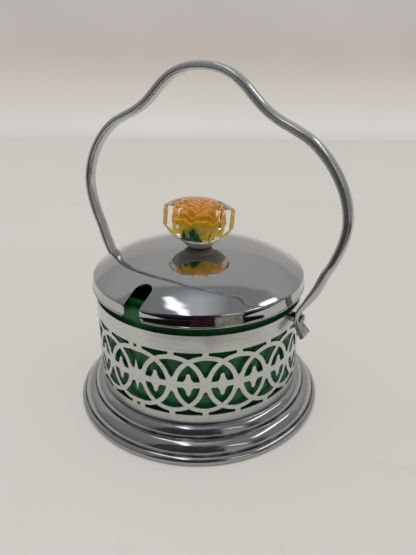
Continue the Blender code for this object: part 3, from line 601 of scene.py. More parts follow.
def new_group(name, inputs, outputs):
    """Starts a shader node group with named sockets and returns its nodes, input node and output node."""
    tree = bpy.data.node_groups.new(name, "ShaderNodeTree")
    for label, value in inputs:
        socket = tree.interface.new_socket(label, in_out="INPUT", socket_type="NodeSocketFloat")
        socket.default_value = value
    for label, kind in outputs:
        tree.interface.new_socket(label, in_out="OUTPUT", socket_type=kind)
    return Nodes(tree), tree.nodes.new("NodeGroupInput"), tree.nodes.new("NodeGroupOutput")


def handled_plate_group():
    """Plate that has been wiped and handled: broad smears, fine lines, small pits and a faint ripple."""
    nodes, given, result = new_group(
        "handled_plate",
        (("Polish", 0.06), ("Smears", 0.05), ("Pits", 0.5), ("Ripple", 0.2)),
        (("Tint", "NodeSocketColor"), ("Roughness", "NodeSocketFloat"), ("Normal", "NodeSocketVector")),
    )
    place = nodes.object_place()
    smears = nodes.span(nodes.noise(place, 38.0, 4.0, 0.6), 0.40, 0.70)
    lines = nodes.span(nodes.streaks(place, (60.0, 60.0, 900.0), 3.0), 0.50, 0.75)
    pits = nodes.span(nodes.noise(place, 2200.0, 1.0), 0.70, 0.78)
    patches = nodes.span(nodes.noise(place, 70.0, 3.0), 0.50, 0.68)
    pits = nodes.product(pits, patches, given.outputs["Pits"])
    wiped = nodes.product(nodes.total(smears, lines), given.outputs["Smears"])
    nodes.fill(
        result,
        Tint=nodes.mix(pits, (1.0, 1.0, 1.0), (0.35, 0.33, 0.30)),
        Roughness=nodes.total(wiped, given.outputs["Polish"], nodes.product(pits, 0.4)),
        Normal=nodes.bump(nodes.noise(place, 90.0, 1.0), given.outputs["Ripple"], 0.0003),
    )
    return nodes.tree


def principled(name, **values):
    """A new material, its nodes and its Principled shader with plain values."""
    material = bpy.data.materials.new(name)
    material.use_nodes = True
    nodes = Nodes(material.node_tree)
    shader = material.node_tree.nodes["Principled BSDF"]
    nodes.fill(shader, **values)
    return material, nodes, shader


def crevice_shade(nodes, colour, radii):
    """Darkens a turned piece's colour in narrow, patchy rings at its corners: painted shade in its crevices.
    """
    place = nodes.object_place()
    split = nodes.split(place)
    radius = nodes.math("SQRT", nodes.total(*[nodes.math("POWER", split[axis], 2.0) for axis in "XY"]))
    patchy = nodes.span(nodes.noise(place, 160.0, 3.0), 0.35, 0.60, 0.6, 1.0)
    for ring in radii:
        off = nodes.math("ABSOLUTE", nodes.math("SUBTRACT", radius, ring))
        share = nodes.product(nodes.span(off, CREVICE_SHADE_WIDTH, CREVICE_SHADE_WIDTH / 3), patchy)
        # painted shade: the colour goes near black in a narrow ring at each corner
        colour = nodes.mix(share, colour, (0.045, 0.042, 0.040))
    return colour


def plate_material(group, name, colour, polish, smears, pits, ripple, haze, corners):
    """Bright plated metal with the wear of one piece and painted shade in its corners. Haze is the share that
    wear has made matt.
    """
    material, nodes, shader = principled(name, Metallic=1.0 - haze)
    worn = nodes.add("ShaderNodeGroup", node_tree=group)
    nodes.fill(worn, Polish=polish, Smears=smears, Pits=pits, Ripple=ripple)
    tint = nodes.mix(1.0, colour, worn.outputs["Tint"], "MULTIPLY")
    nodes.fill(
        shader,
        # the colour carries painted shade in the corners
        Base_Color=crevice_shade(nodes, tint, corners),
        Roughness=worn.outputs["Roughness"],
        Normal=worn.outputs["Normal"],
    )
    return material


def green_glass_material():
    """Dark green pressed glass: it lets little light through and carries a gloss and faint mould ripples. A
    little above the lid's edge it is painted darker and less glossy, as painted shade from the lid.
    """
    material, nodes, shader = principled("green_glass", Roughness=0.28, IOR=1.5)
    place = nodes.object_place()
    green = nodes.mix(nodes.noise(place, 45.0, 3.0), (0.016, 0.165, 0.050), (0.028, 0.250, 0.090))
    # painted shade: the glass goes darker and loses its gloss near the lip, under the lid
    lid_shade = nodes.span(nodes.split(place)["Z"], LID_EDGE + LIP_SHADE_START, LID_EDGE + LIP_SHADE_END)
    nodes.fill(
        shader,
        Base_Color=nodes.mix(lid_shade, green, (0.003, 0.040, 0.008)),
        Specular_IOR_Level=nodes.span(lid_shade, 0.0, 1.0, 0.3, 0.04),
        Normal=nodes.bump(nodes.noise(place, 120.0, 1.0), 0.15, 0.0004),
    )
    return material


def acrylic_material():
    """Clear cast acrylic with polished flats and the faintest haze of handling. Shadow rays pass it."""
    material, nodes, shader = principled(
        "clear_acrylic", Base_Color=(0.97, 0.975, 0.95), Transmission_Weight=1.0, IOR=1.49
    )
    haze = nodes.noise(nodes.object_place(), 260.0, 4.0)
    nodes.fill(shader, Roughness=nodes.span(haze, 0.45, 0.75, 0.0, 0.035))
    clear = nodes.add("ShaderNodeBsdfTransparent", Color=(0.98, 0.985, 0.97))
    nodes.show(nodes.add("ShaderNodeLightPath").outputs["Is Shadow Ray"], shader, clear)
    return material


def petal_material():
    """Dyed carving: olive yellow at the foot, deep orange in the middle and a peach crown."""
    material, nodes, shader = principled("petal_dye", Roughness=0.55)
    place = nodes.object_place()
    sway = nodes.span(nodes.noise(place, 260.0, 3.0), 0.3, 0.7, -0.12, 0.12)
    climb = nodes.span(nodes.split(place)["Z"], BLOOM_BOTTOM, BLOOM_BOTTOM + BLOOM_HEIGHT)
    rise = nodes.total(climb, sway)
    blotch = nodes.product(nodes.span(nodes.noise(place, 420.0, 4.0, 0.6), 0.42, 0.68), 0.42)
    deep = nodes.mix(blotch, nodes.ramp(rise, PETAL_DYE), (0.62, 0.19, 0.005))
    pale = nodes.span(nodes.noise(place, 190.0, 2.0), 0.58, 0.70)
    pale = nodes.product(pale, nodes.span(rise, 0.50, 0.25), 0.7)
    nodes.fill(
        shader,
        Base_Color=nodes.mix(pale, deep, (0.74, 0.70, 0.28)),
        Normal=nodes.bump(nodes.noise(place, 900.0, 3.0), 0.5, 0.0002),
    )
    return material


def leaf_material():
    """Dark green dye with paler strokes where the tool caught it."""
    material, nodes, shader = principled("leaf_dye", Roughness=0.5)
    place = nodes.object_place()
    strokes = nodes.span(nodes.streaks(place, (900.0, 900.0, 260.0), 2.0), 0.50, 0.70)
    scrapes = nodes.span(nodes.streaks(place, (420.0, 420.0, 160.0), 1.0), 0.66, 0.72)
    green = nodes.mix(strokes, (0.003, 0.070, 0.018), (0.012, 0.170, 0.050))
    nodes.fill(
        shader,
        Base_Color=nodes.mix(scrapes, green, (0.30, 0.42, 0.26)),
        Normal=nodes.bump(nodes.noise(place, 1200.0, 2.0), 0.4, 0.0001),
    )
    return material


def plaster_material():
    """Cast cream filler, a little stained and pitted."""
    material, nodes, shader = principled("cream_plaster")
    place = nodes.object_place()
    stain = nodes.span(nodes.noise(place, 300.0, 4.0), 0.40, 0.70)
    nodes.fill(
        shader,
        Base_Color=nodes.mix(stain, (0.90, 0.85, 0.72), (0.72, 0.65, 0.52)),
        Roughness=nodes.span(stain, 0.0, 1.0, 0.45, 0.7),
        Normal=nodes.bump(nodes.noise(place, 1500.0, 2.0), 0.3, 0.0001),
    )
    return material


def steel_material():
    """Plain turned steel with fine turning lines."""
    material, nodes, shader = principled("screw_steel", Base_Color=(0.42, 0.42, 0.42), Metallic=1.0)
    lines = nodes.streaks(nodes.object_place(), (300.0, 300.0, 6000.0), 2.0)
    rough = nodes.span(lines, 0.3, 0.7, 0.25, 0.45)
    nodes.fill(shader, Roughness=rough, Normal=nodes.bump(lines, 0.2, 0.0001))
    return material


# Pieces


def corner_sweep(radius, height):
    """The small hollow sweep where one roll of the base runs out into the next."""
    return quarter_arc((radius + ROLL_FILLET, height + ROLL_FILLET), -ROLL_FILLET, -ROLL_FILLET, 5, 0, 1)


def make_base(chrome):
    """The spun base: flat deck, two rounded steps and a curled foot."""
    lower_radius = FOOT_RADIUS - FOOT_CURL_WIDTH
    upper_radius = lower_radius - LOWER_STEP_RUN
    deck_radius = upper_radius - UPPER_STEP_RUN
    curl_middle = FOOT_CURL_HEIGHT / 2
    step_foot = FOOT_CURL_HEIGHT + LOWER_STEP_RISE
    path = [(0, BASE_TOP), (deck_radius / 2, BASE_TOP)]
    upper_roll = (UPPER_STEP_RUN, UPPER_STEP_RISE, ROLL_STEPS, 1, ROLL_END_SHARE)
    path += quarter_arc((deck_radius, step_foot), *upper_roll)
    path += corner_sweep(path[-1][0], step_foot)
    lower_roll = (LOWER_STEP_RUN, LOWER_STEP_RISE, ROLL_STEPS, ROLL_START_SHARE, ROLL_END_SHARE)
    path += quarter_arc((upper_radius, FOOT_CURL_HEIGHT), *lower_roll)
    path += corner_sweep(path[-1][0], FOOT_CURL_HEIGHT)
    curl_start = ROLL_START_SHARE - 0.1
    path += quarter_arc((lower_radius, curl_middle), FOOT_CURL_WIDTH, curl_middle, 8, curl_start, 0)
    under_radius = FOOT_RADIUS - FOOT_UNDERCURL
    path += quarter_arc((under_radius, curl_middle), FOOT_UNDERCURL, curl_middle, 6, 0, -1)
    path.append((under_radius - FOOT_FLAT, 0))
    path = without_doubles(path)
    outline = path + offset_path(path, SHEET)[::-1]
    return new_piece("spun_base", turned(outline, FINE_TURN), chrome)


def ellipse_side(value, half_value, half_result):
    """The other coordinate of an ellipse about the origin, never negative."""
    share = min(abs(value) / half_value, 1)
    return half_result * math.sqrt(1 - share * share)


def crossing_height(gap, low, high):
    """The height between low and high at which a gap, given as a function of height, closes."""
    for _ in range(BISECTIONS):
        middle = (low + high) / 2
        if gap(middle) > 0:
            low = middle
        else:
            high = middle
    return (low + high) / 2


def rim_outline(hole_edge, side, band):
    """Half of the plain band above a cell, with a corner where the piercing's connector starts."""
    top = PIERCED_HEIGHT / 2
    return [(0, top), (hole_edge, top), (side, top), (side, top + band), (0, top + band)]


def motif_quarter(pitch, spear, band):
    """One quarter of a pierced motif, as flat outlines that share their edges."""
    side = pitch / 2
    top = PIERCED_HEIGHT / 2
    outer = (pitch - CROTCH_GAP / 2, top - CONNECTOR_HEIGHT)
    inner = (outer[0] - RING_BAND, outer[1] - RING_BAND)
    bar_edge = BAR_HEIGHT / 2
    connector_edge = side - CONNECTOR_WIDTH / 2

    def edge_place(ring, height):
        return ellipse_side(height, ring[1], ring[0]) - side

    def edge_height(ring, place):
        return ellipse_side(side - place, *ring)

    def crotch_gap(height):
        return edge_place(outer, height) + edge_place(inner, height)

    cross = crossing_height(crotch_gap, CROTCH_RISE, inner[1])
    crossing = (edge_place(outer, cross), cross)
    apex = edge_height(inner, 0)
    outer_edge = [(edge_place(outer, height), height) for height in spaced(CROTCH_RISE, cross, 8)[1:-1]]
    inner_edge = [(edge_place(inner, height), height) for height in spaced(apex, bar_edge, 8)[1:]]
    bar = [(0, 0), (side, 0), (side, bar_edge), inner_edge[-1]]
    bar += [(SPEAR_BASE * out, bar_edge + (spear - bar_edge) * up) for out, up in SPEAR_SHARES]
    web = [(side, bar_edge), (side, CROTCH_RISE)] + outer_edge + [crossing, (0, apex)] + inner_edge
    ring = [(0, apex), crossing]
    ring += [(place, edge_height(inner, place)) for place in spaced(crossing[0], side, 5)[1:]]
    ring += [(side, top), (connector_edge, top)]
    ring += [(place, edge_height(outer, place)) for place in spaced(connector_edge, 0, 6)]
    return [bar, web, ring, rim_outline(connector_edge, side, band)]


def seam_quarter(spike, band):
    """One quarter of the narrow piece at the strip's seam, as flat outlines that share their edges."""
    side = SEAM_WIDTH / 2
    top = PIERCED_HEIGHT / 2
    ring_outer = top - CONNECTOR_HEIGHT
    ring_inner = ring_outer - RING_BAND
    hole_edge = side - CONNECTOR_WIDTH / 2
    bar_edge = BAR_HEIGHT / 2
    bar = [(0, 0), (side, 0), (side, bar_edge), (0, bar_edge)]
    tooth = [(0, bar_edge), (side, bar_edge), (side, CROTCH_RISE)]
    tooth += [(SEAM_SPIKE_WIDTH / 2, CROTCH_RISE), (0, spike)]
    ring = [(0, ring_inner), (side, ring_inner), (side, top), (hole_edge, top)]
    ring += [(hole_edge, ring_outer), (0, ring_outer)]
    return [bar, tooth, ring, rim_outline(hole_edge, side, band)]


def flat_cell(quarters, width):
    """A flat cell of the strip from its upper and lower quarters, split into narrow facets for rolling."""
    bm = bmesh.new()
    for up, outlines in quarters:
        for along in (1, -1):
            for outline in outlines:
                bm.faces.new([bm.verts.new((along * place, 0, up * height)) for place, height in outline])
    bmesh.ops.remove_doubles(bm, verts=bm.verts, dist=MERGE)
    cuts = max(round(width / STRIP_FACET), 2)
    for place in spaced(-width / 2, width / 2, cuts)[1:-1]:
        bmesh.ops.bisect_plane(
            bm, geom=everything(bm), dist=MERGE, plane_co=(place, 0, 0), plane_no=(1, 0, 0)
        )
    return bm


def make_gallery(chrome):
    """The pierced gallery: flat cells side by side, rolled up, thickened and rounded at punched edges."""
    pitch = (math.tau * GALLERY_RADIUS - SEAM_WIDTH) / MOTIFS
    upper_motif = motif_quarter(pitch, SPEAR_UPPER, UPPER_BAND)
    lower_motif = motif_quarter(pitch, SPEAR_LOWER, LOWER_BAND)
    bm = flat_cell(((1, upper_motif), (-1, lower_motif)), pitch)
    cell = everything(bm)
    seam_start = -math.tau * GALLERY_RADIUS / 4
    for index in range(1, MOTIFS):
        copy = bmesh.ops.duplicate(bm, geom=cell)
        bmesh.ops.translate(bm, verts=made_verts(copy), vec=(pitch * index, 0, 0))
    bmesh.ops.translate(bm, verts=bm.verts, vec=(seam_start + SEAM_WIDTH / 2 + pitch / 2, 0, 0))
    upper_seam = seam_quarter(SEAM_SPIKE_UPPER, UPPER_BAND)
    lower_seam = seam_quarter(SEAM_SPIKE_LOWER, LOWER_BAND)
    narrow = flat_cell(((1, upper_seam), (-1, lower_seam)), SEAM_WIDTH)
    bmesh.ops.translate(narrow, verts=narrow.verts, vec=(seam_start, 0, 0))
    holder = bpy.data.meshes.new("seam_cell")
    narrow.to_mesh(holder)
    narrow.free()
    bm.from_mesh(holder)
    bpy.data.meshes.remove(holder)
    for vert in bm.verts:
        angle = vert.co.x / GALLERY_RADIUS
        height = GALLERY_MIDDLE + vert.co.z
        vert.co = (GALLERY_RADIUS * math.cos(angle), GALLERY_RADIUS * math.sin(angle), height)
    bmesh.ops.remove_doubles(bm, verts=bm.verts, dist=MERGE)
    bmesh.ops.recalc_face_normals(bm, faces=bm.faces)
    drawn = bmesh.ops.extrude_face_region(bm, geom=bm.faces[:])
    share = 1 - SHEET / GALLERY_RADIUS
    bmesh.ops.scale(bm, vec=(share, share, 1), verts=made_verts(drawn))
    bmesh.ops.recalc_face_normals(bm, faces=bm.faces)
    edges = [edge for edge in bm.edges if edge.calc_face_angle(0) > SMOOTH_ANGLE and on_outside(edge)]
    bmesh.ops.bevel(
        bm, geom=edges, offset=PUNCH_ROUNDING, segments=2, profile=0.5, affect="EDGES", material=-1,
        clamp_overlap=True,
    )
    gallery = new_piece("pierced_gallery", bm, chrome)
    cut_with(gallery, pivot_hole(), "pivot_hole")
    weigh_normals(gallery)
    return gallery


def on_outside(edge):
    """True for an edge that lies on the strip's outer face."""
    return all(math.hypot(vert.co.x, vert.co.y) > GALLERY_RADIUS - SHEET / 2 for vert in edge.verts)


def pivot_hole():
    """A round tool along the bail's pivot axis."""
    reach = BAIL_FOOT_OFFSET + BAIL_TAIL_LENGTH
    outline = [(0, -reach), (PIVOT_HOLE, -reach), (PIVOT_HOLE, reach), (0, reach)]
    bm = turned(outline, HOLE_TURN_STEPS)
    place = Matrix.Translation((0, 0, PIVOT_HEIGHT)) @ Matrix.Rotation(math.pi / 2, 4, "Y")
    bmesh.ops.transform(bm, matrix=place, verts=bm.verts)
    return bm


def bail_section(up):
    """Width, thickness and share of tail in the bail's section at a height above its pivot."""
    flat = 2 * RIVET_HEAD_RADIUS
    if up >= flat:
        blend = min((up - flat) / BAIL_TAIL_LENGTH, 1)
        return BAIL_WIDTH, BAIL_END_THICKNESS + (BAIL_THICKNESS - BAIL_END_THICKNESS) * blend, 0
    if up >= -RIVET_HEAD_RADIUS:
        return BAIL_WIDTH, BAIL_END_THICKNESS, 0
    blend = (-up - RIVET_HEAD_RADIUS) / (BAIL_TAIL_LENGTH - RIVET_HEAD_RADIUS)
    return BAIL_WIDTH + (BAIL_TAIL_WIDTH - BAIL_WIDTH) * blend, BAIL_END_THICKNESS, min(2 * blend, 1)


def make_bail(chrome):
    """The bail: a half-round strip along its arch, with flattened ends and fluted, flared tails."""
    half = [
        (BAIL_FOOT_OFFSET + BAIL_TAIL_FLARE, -BAIL_TAIL_LENGTH),
        (BAIL_FOOT_OFFSET + BAIL_TAIL_FLARE * TAIL_BEND_OUT, -BAIL_TAIL_LENGTH * TAIL_BEND_DOWN),
        (BAIL_FOOT_OFFSET, -RIVET_HEAD_RADIUS),
        (BAIL_FOOT_OFFSET, RIVET_HEAD_RADIUS),
    ]
    half += [(BAIL_HALF_SPAN * across, BAIL_RISE * up) for across, up in BAIL_SHARES]
    points = half + [(0, BAIL_RISE)] + [(-across, up) for across, up in reversed(half)]
    stations = smooth_through(points, BAIL_SUBSTEPS)
    section = smooth_through(list(BAIL_SECTION_SHARES), SECTION_SUBSTEPS)
    section += [Vector((-point.x, point.y)) for point in reversed(section[1:])]
    bm = bmesh.new()
    rings = []
    for index, station in enumerate(stations):
        before = stations[max(index - 1, 0)]
        after = stations[min(index + 1, len(stations) - 1)]
        along = (after - before).normalized()
        outward = Vector((along.y, -along.x))
        width, thickness, tail = bail_section(station.y)
        ring = []
        for side, out in section:
            lift = min(max(out, 0) * BAIL_FLUTE_EDGE, 1) * tail
            groove = BAIL_FLUTE_DEPTH * lift * ((1 - math.cos(side * BAIL_FLUTES * math.pi)) / 2) ** 2
            place = station + outward * (thickness * (out + (0.5 - out) * lift) - groove)
            ring.append(bm.verts.new((place.x, side * width / 2, place.y)))
        rings.append([bm.edges.new(pair) for pair in zip(ring, ring[1:] + ring[:1])])
    for first, second in zip(rings, rings[1:]):
        bmesh.ops.bridge_loops(bm, edges=first + second)
    bmesh.ops.edgenet_fill(bm, edges=rings[0])
    bmesh.ops.edgenet_fill(bm, edges=rings[-1])
    place = Matrix.Translation((0, 0, PIVOT_HEIGHT)) @ Matrix.Rotation(BAIL_LEAN, 4, "X")
    bmesh.ops.transform(bm, matrix=place, verts=bm.verts)
    bmesh.ops.recalc_face_normals(bm, faces=bm.faces)
    bail = new_piece("bail_strip", bm, chrome, ROUND_ANGLE)
    cut_with(bail, pivot_hole(), "bail_hole")
    return bail


def make_liner(glass):
    """The glass liner: a straight cup with a rounded heel and lip."""
    inner_radius = LINER_RADIUS - LINER_WALL
    lip = LINER_WALL / 2
    heel = (LINER_RADIUS - LINER_HEEL, LINER_BOTTOM + LINER_HEEL)
    inner_floor = LINER_BOTTOM + LINER_FLOOR
    inner_heel = (inner_radius - LINER_INNER_HEEL, inner_floor + LINER_INNER_HEEL)
    outline = [(0, LINER_BOTTOM)]
    outline += quarter_arc(heel, LINER_HEEL, LINER_HEEL, 10, -1, 0)
    outline += quarter_arc((LINER_RADIUS - lip, LINER_TOP - lip), lip, lip, 16, 0, 2)
    outline += quarter_arc(inner_heel, LINER_INNER_HEEL, LINER_INNER_HEEL, 8, 0, -1)
    outline.append((0, inner_floor))
    return new_piece("liner_cup", turned(outline, FINE_TURN), glass)


def make_lid(chrome):
    """The lid: a thin dome with an upright, hemmed skirt, a screw hole and the spoon notch."""
    skirt_top = LID_EDGE + LID_SKIRT_HEIGHT
    dome_rise = LID_CROWN - skirt_top
    wall = LID_RADIUS - LID_HEM
    shaping = [(SCREW_HOLE, LID_CROWN)]
    shaping += [(LID_RADIUS * out, skirt_top + dome_rise * up) for out, up in DOME_SHARES]
    waist = wall - LID_HEM / 3
    shaping += [(waist - LID_SHOULDER / 3, skirt_top), (waist, skirt_top - LID_SHOULDER * 4 / 3)]
    shaping += [(waist, LID_EDGE + LID_SKIRT_HEIGHT / 2), (wall, LID_EDGE + LID_HEM_HEIGHT)]
    outer = [tuple(point) for point in smooth_through(shaping, LID_SUBSTEPS)]
    outer.append((wall, LID_EDGE))
    outer = without_doubles(outer)
    inner = offset_path(outer, SHEET)
    hem = quarter_arc((wall, LID_EDGE + LID_HEM_HEIGHT / 2), LID_HEM, LID_HEM_HEIGHT / 2, 12, 1, -1)
    outline = without_doubles(outer[:-1] + hem) + inner[::-1]
    lid = new_piece("spun_lid", turned(outline, FINE_TURN, closed=True), chrome)
    half_width = NOTCH_WIDTH / 2
    inner_end = -(LID_RADIUS - NOTCH_DEPTH)
    outer_end = -(LID_RADIUS + NOTCH_WIDTH)
    low = LID_EDGE - NOTCH_WIDTH
    arc = quarter_arc((0, inner_end - half_width), half_width, half_width, 24, 0, 2)
    slot = [(x, y, low) for x, y in [(half_width, outer_end)] + arc + [(-half_width, outer_end)]]
    cut_with(lid, extruded(slot, Vector((0, 0, LID_CROWN))), "notch_slot")
    mouth = half_width + NOTCH_MOUTH
    right = quarter_arc((mouth, LID_EDGE + NOTCH_MOUTH), -NOTCH_MOUTH, -NOTCH_MOUTH, 12, 1, 0)
    edge = [(mouth, low)] + right + [(-x, z) for x, z in reversed(right)] + [(-mouth, low)]
    opening = extruded([(x, outer_end, z) for x, z in edge], Vector((0, NOTCH_MOUTH_REACH, 0)))
    cut_with(lid, opening, "notch_mouth")
    round_edges(lid, LID_ROUNDING, ROUND_ANGLE)
    return lid


def flatten_side(bm, point, normal):
    """Cuts a closed mesh with a plane, drops what lies beyond it and closes the cut with flat faces."""
    result = bmesh.ops.bisect_plane(
        bm, geom=everything(bm), dist=MERGE, plane_co=point, plane_no=normal, clear_outer=True
    )
    rim = [item for item in result["geom_cut"] if isinstance(item, bmesh.types.BMEdge)]
    bmesh.ops.edgenet_fill(bm, edges=rim)


def turn_knob(bm):
    """Turns a piece of the knob about the lid's axis and leans it, as it sits on its screw."""
    bmesh.ops.rotate(bm, verts=bm.verts, cent=(0, 0, 0), matrix=Matrix.Rotation(KNOB_TURN, 3, "Z"))
    lean_knob(bm)


def lean_knob(bm):
    """Tips a piece of the knob above its level foot, as it was cast onto its screw a little crooked."""
    heading = Vector((math.cos(LEAN_HEADING), math.sin(LEAN_HEADING), 0))
    tilt = Matrix.Rotation(KNOB_LEAN, 3, Vector((0, 0, 1)).cross(heading))
    raised = [vert for vert in bm.verts if vert.co.z > NECK_BOTTOM + MERGE]
    for vert in raised:
        vert.co -= heading * KNOB_SHIFT * min((vert.co.z - NECK_BOTTOM) / NECK_HEIGHT, 1)
    bmesh.ops.rotate(bm, verts=raised, cent=(0, 0, NECK_BOTTOM), matrix=tilt)


def underside(radius):
    """The height of the block's swept underside at a radius."""
    share = (radius - NECK_TOP_RADIUS) / (KNOB_BLANK_RADIUS - NECK_TOP_RADIUS)
    return KNOB_BOTTOM + KNOB_GIRDLE * max(share, 0) ** UNDERSIDE_POWER


def cut_sides(bm):
    """Cuts the block's six polished sides."""
    half_width = KNOB_WIDTH / 2
    slant = math.atan2(KNOB_DEPTH / 2, half_width - KNOB_FACE_WIDTH / 2)
    for turn_x in (1, -1):
        for turn_y in (1, -1):
            normal = Vector((math.sin(slant) * turn_x, math.cos(slant) * turn_y, 0))
            flatten_side(bm, Vector((half_width * turn_x, 0, 0)), normal)
    for turn_y in (1, -1):
        flatten_side(bm, Vector((0, turn_y * KNOB_DEPTH / 2, 0)), Vector((0, turn_y, 0)))


def make_filler(plaster):
    """The cast filler: a bowl-shaped neck under the block and the plug that closes the block's mouth."""
    flare = NECK_TOP_RADIUS - NECK_FOOT_RADIUS
    bore_top = NECK_TOP + 2 * SEAT_GAP
    plug_top = KNOB_BOTTOM + 4 * SEAT_GAP
    outline = [(0, bore_top), (SCREW_HOLE, bore_top), (SCREW_HOLE, NECK_BOTTOM)]
    outline += quarter_arc((NECK_FOOT_RADIUS, NECK_TOP), flare, NECK_HEIGHT, 16, -1, 0)
    outline += [(PLUG_RADIUS, NECK_TOP), (PLUG_RADIUS, plug_top), (0, plug_top)]
    bm = turned(outline, NECK_TURN_STEPS)
    lean_knob(bm)
    return new_piece("cast_filler", bm, plaster)


def make_coat(plaster):
    """The thin cream coat that was brushed over the block's underside."""
    radii = spaced(NECK_TOP_RADIUS - COAT_THICKNESS, COAT_RADIUS, 8)
    lower = [(radius, underside(radius) - SEAT_GAP) for radius in radii]
    upper = [(radius, underside(radius) - SEAT_GAP + COAT_THICKNESS) for radius in reversed(radii)]
    bm = turned(lower + upper, KNOB_TURN_STEPS, closed=True)
    cut_sides(bm)
    turn_knob(bm)
    return new_piece("underside_coat", bm, plaster)


def make_knob_block(acrylic):
    """The clear block: a turned crown and underside with six flat polished sides."""
    crown_middle = KNOB_TOP - KNOB_CROWN_RADIUS
    outline = [(0, KNOB_BOTTOM), (NECK_TOP_RADIUS, KNOB_BOTTOM)]
    outline += [(radius, underside(radius)) for radius in spaced(NECK_TOP_RADIUS, KNOB_BLANK_RADIUS, 14)[1:]]
    for share in spaced(1, 0, 16)[:-1]:
        radius = KNOB_BLANK_RADIUS * share
        outline.append((radius, crown_middle + math.sqrt(KNOB_CROWN_RADIUS**2 - radius**2)))
    outline.append((0, KNOB_TOP))
    bm = turned(without_doubles(outline), KNOB_TURN_STEPS)
    cut_sides(bm)
    turn_knob(bm)
    block = new_piece("knob_block", bm, acrylic, FACET_ANGLE)
    round_edges(block, PINHEAD, FACET_ANGLE)
    return block


def petal(bm, angle, foot, reach, rise, spread, curl, opening):
    """Adds one cupped petal to the flower: it climbs from a foot radius, bellies out and curls at its rim."""
    made = bmesh.ops.create_grid(bm, x_segments=10, y_segments=8, size=0.5)
    for vert in made["verts"]:
        across = vert.co.x * 2
        up = vert.co.y + 0.5
        rim = 1 - PETAL_DROP * across * across * up
        belly = math.sin(up * rim * math.pi * PETAL_BELLY)
        curled = max(up - PETAL_CURL_START, 0) / (1 - PETAL_CURL_START)
        radius = foot + (reach - foot) * belly + curl * curled
        opened = opening + (1 - opening) * min(up * PETAL_OPENING_RATE, 1)
        turn = angle + across * spread * opened + PETAL_SWEEP * up
        ruffle = RUFFLE_RISE * math.sin(across * RUFFLE_WAVES + angle * RUFFLE_SHIFT) * up
        vert.co = (
            radius * math.cos(turn) * BLOOM_WIDTH,
            radius * math.sin(turn) * BLOOM_DEPTH,
            BLOOM_BOTTOM + BLOOM_HEIGHT * (rise * up * rim + ruffle),
        )


def make_flower(petal_dye):
    """The carved flower: rings of cupped petals round a rolled heart."""
    bm = bmesh.new()
    for count, foot, reach, rise, spread, curl, start, opening in PETAL_RING_SHARES:
        for index in range(count):
            petal(bm, start + math.tau * index / count, foot, reach, rise, spread, curl, opening)
    turn_knob(bm)
    flower = new_piece("carved_flower", bm, petal_dye, CARVED_ANGLE)
    thicken_petals(flower)
    return flower


def thicken_petals(piece):
    """Gives carved sheets their thickness for good."""
    thicken = piece.modifiers.new("petal_thickness", "SOLIDIFY")
    thicken.thickness = PETAL_THICKNESS
    thicken.offset = 0
    settle(piece)


def make_leaf(name, heading, left, right, height, leaf_dye):
    """One carved leaf at the flower's foot: toothed sides, a cupped blade and grooved veins."""
    turn = math.radians(heading)
    middle = Vector((math.cos(turn) * BLOOM_WIDTH, math.sin(turn) * BLOOM_DEPTH, 0)) * LEAF_PLACE
    outward = Vector((math.cos(turn) / BLOOM_WIDTH, math.sin(turn) / BLOOM_DEPTH, 0)).normalized()
    along = Vector((-outward.y, outward.x, 0))
    bm = bmesh.new()
    made = bmesh.ops.create_grid(bm, x_segments=20, y_segments=20, size=0.5)
    for vert in made["verts"]:
        across = vert.co.x * 2
        up = vert.co.y + 0.5
        side = right if across > 0 else left
        teeth = 1 + LEAF_TOOTH * math.sin(up * LEAF_TEETH * math.pi)
        reach = across * side * MM * max(1 - up, LEAF_TIP) ** LEAF_TAPER * teeth
        midrib = math.exp(-across * across * MIDRIB_SHARPNESS)
        off = math.sin((up * LEAF_VEINS - abs(across) * VEIN_SLANT) * math.pi)
        vein = math.exp(-off * off * VEIN_SHARPNESS)
        groove = LEAF_GROOVE * (midrib + VEIN_DEPTH_SHARE * vein)
        cup = LEAF_CUP * (1 - across * across) * math.sin(up * math.pi * LEAF_CUP_TURN)
        place = middle + outward * (LEAF_STAND + cup - groove) + along * reach
        vert.co = (place.x - LEAF_SHIFT, place.y, BLOOM_BOTTOM + height * MM * up)
    turn_knob(bm)
    leaf = new_piece(name, bm, leaf_dye, CARVED_ANGLE)
    thicken_petals(leaf)
    return leaf


def dress_node(node, material):
    """Gives a CAD node that stays its own finish."""
    mesh = node.data
    mesh.materials.clear()
    mesh.materials.append(material)


# Setting


def flat_sheet(name, corners, material, matrix=Matrix()):
    """One flat face of the setting, placed by a matrix."""
    bm = bmesh.new()
    bm.faces.new([bm.verts.new(corner) for corner in corners])
    bmesh.ops.transform(bm, matrix=matrix, verts=bm.verts)
    return new_piece(name, bm, material)


def around(azimuth, distance):
    """A place on the floor at an azimuth from the camera's side of the pot, positive to the right."""
    turn = VIEW_TURN - math.pi / 2 + math.radians(azimuth)
    return distance * math.cos(turn), distance * math.sin(turn)


def floor_mat(tone, first, last, dark, pale):
    """A streaked mat on the floor, out of the picture, between two headings from the pot."""
    material, nodes, shader = principled(f"{tone}_mat", **MATT)
    streaks = nodes.span(nodes.noise(nodes.object_place(), 9.0, 2.0), 0.35, 0.65)
    nodes.fill(shader, Base_Color=nodes.mix(streaks, dark, pale))
    places = [around(first, MAT_NEAR), around(last, MAT_NEAR), around(last, MAT_FAR), around(first, MAT_FAR)]
    return flat_sheet(f"floor_mat_{tone}", [(x, y, SHEET - TABLE_HEIGHT) for x, y in places], material)


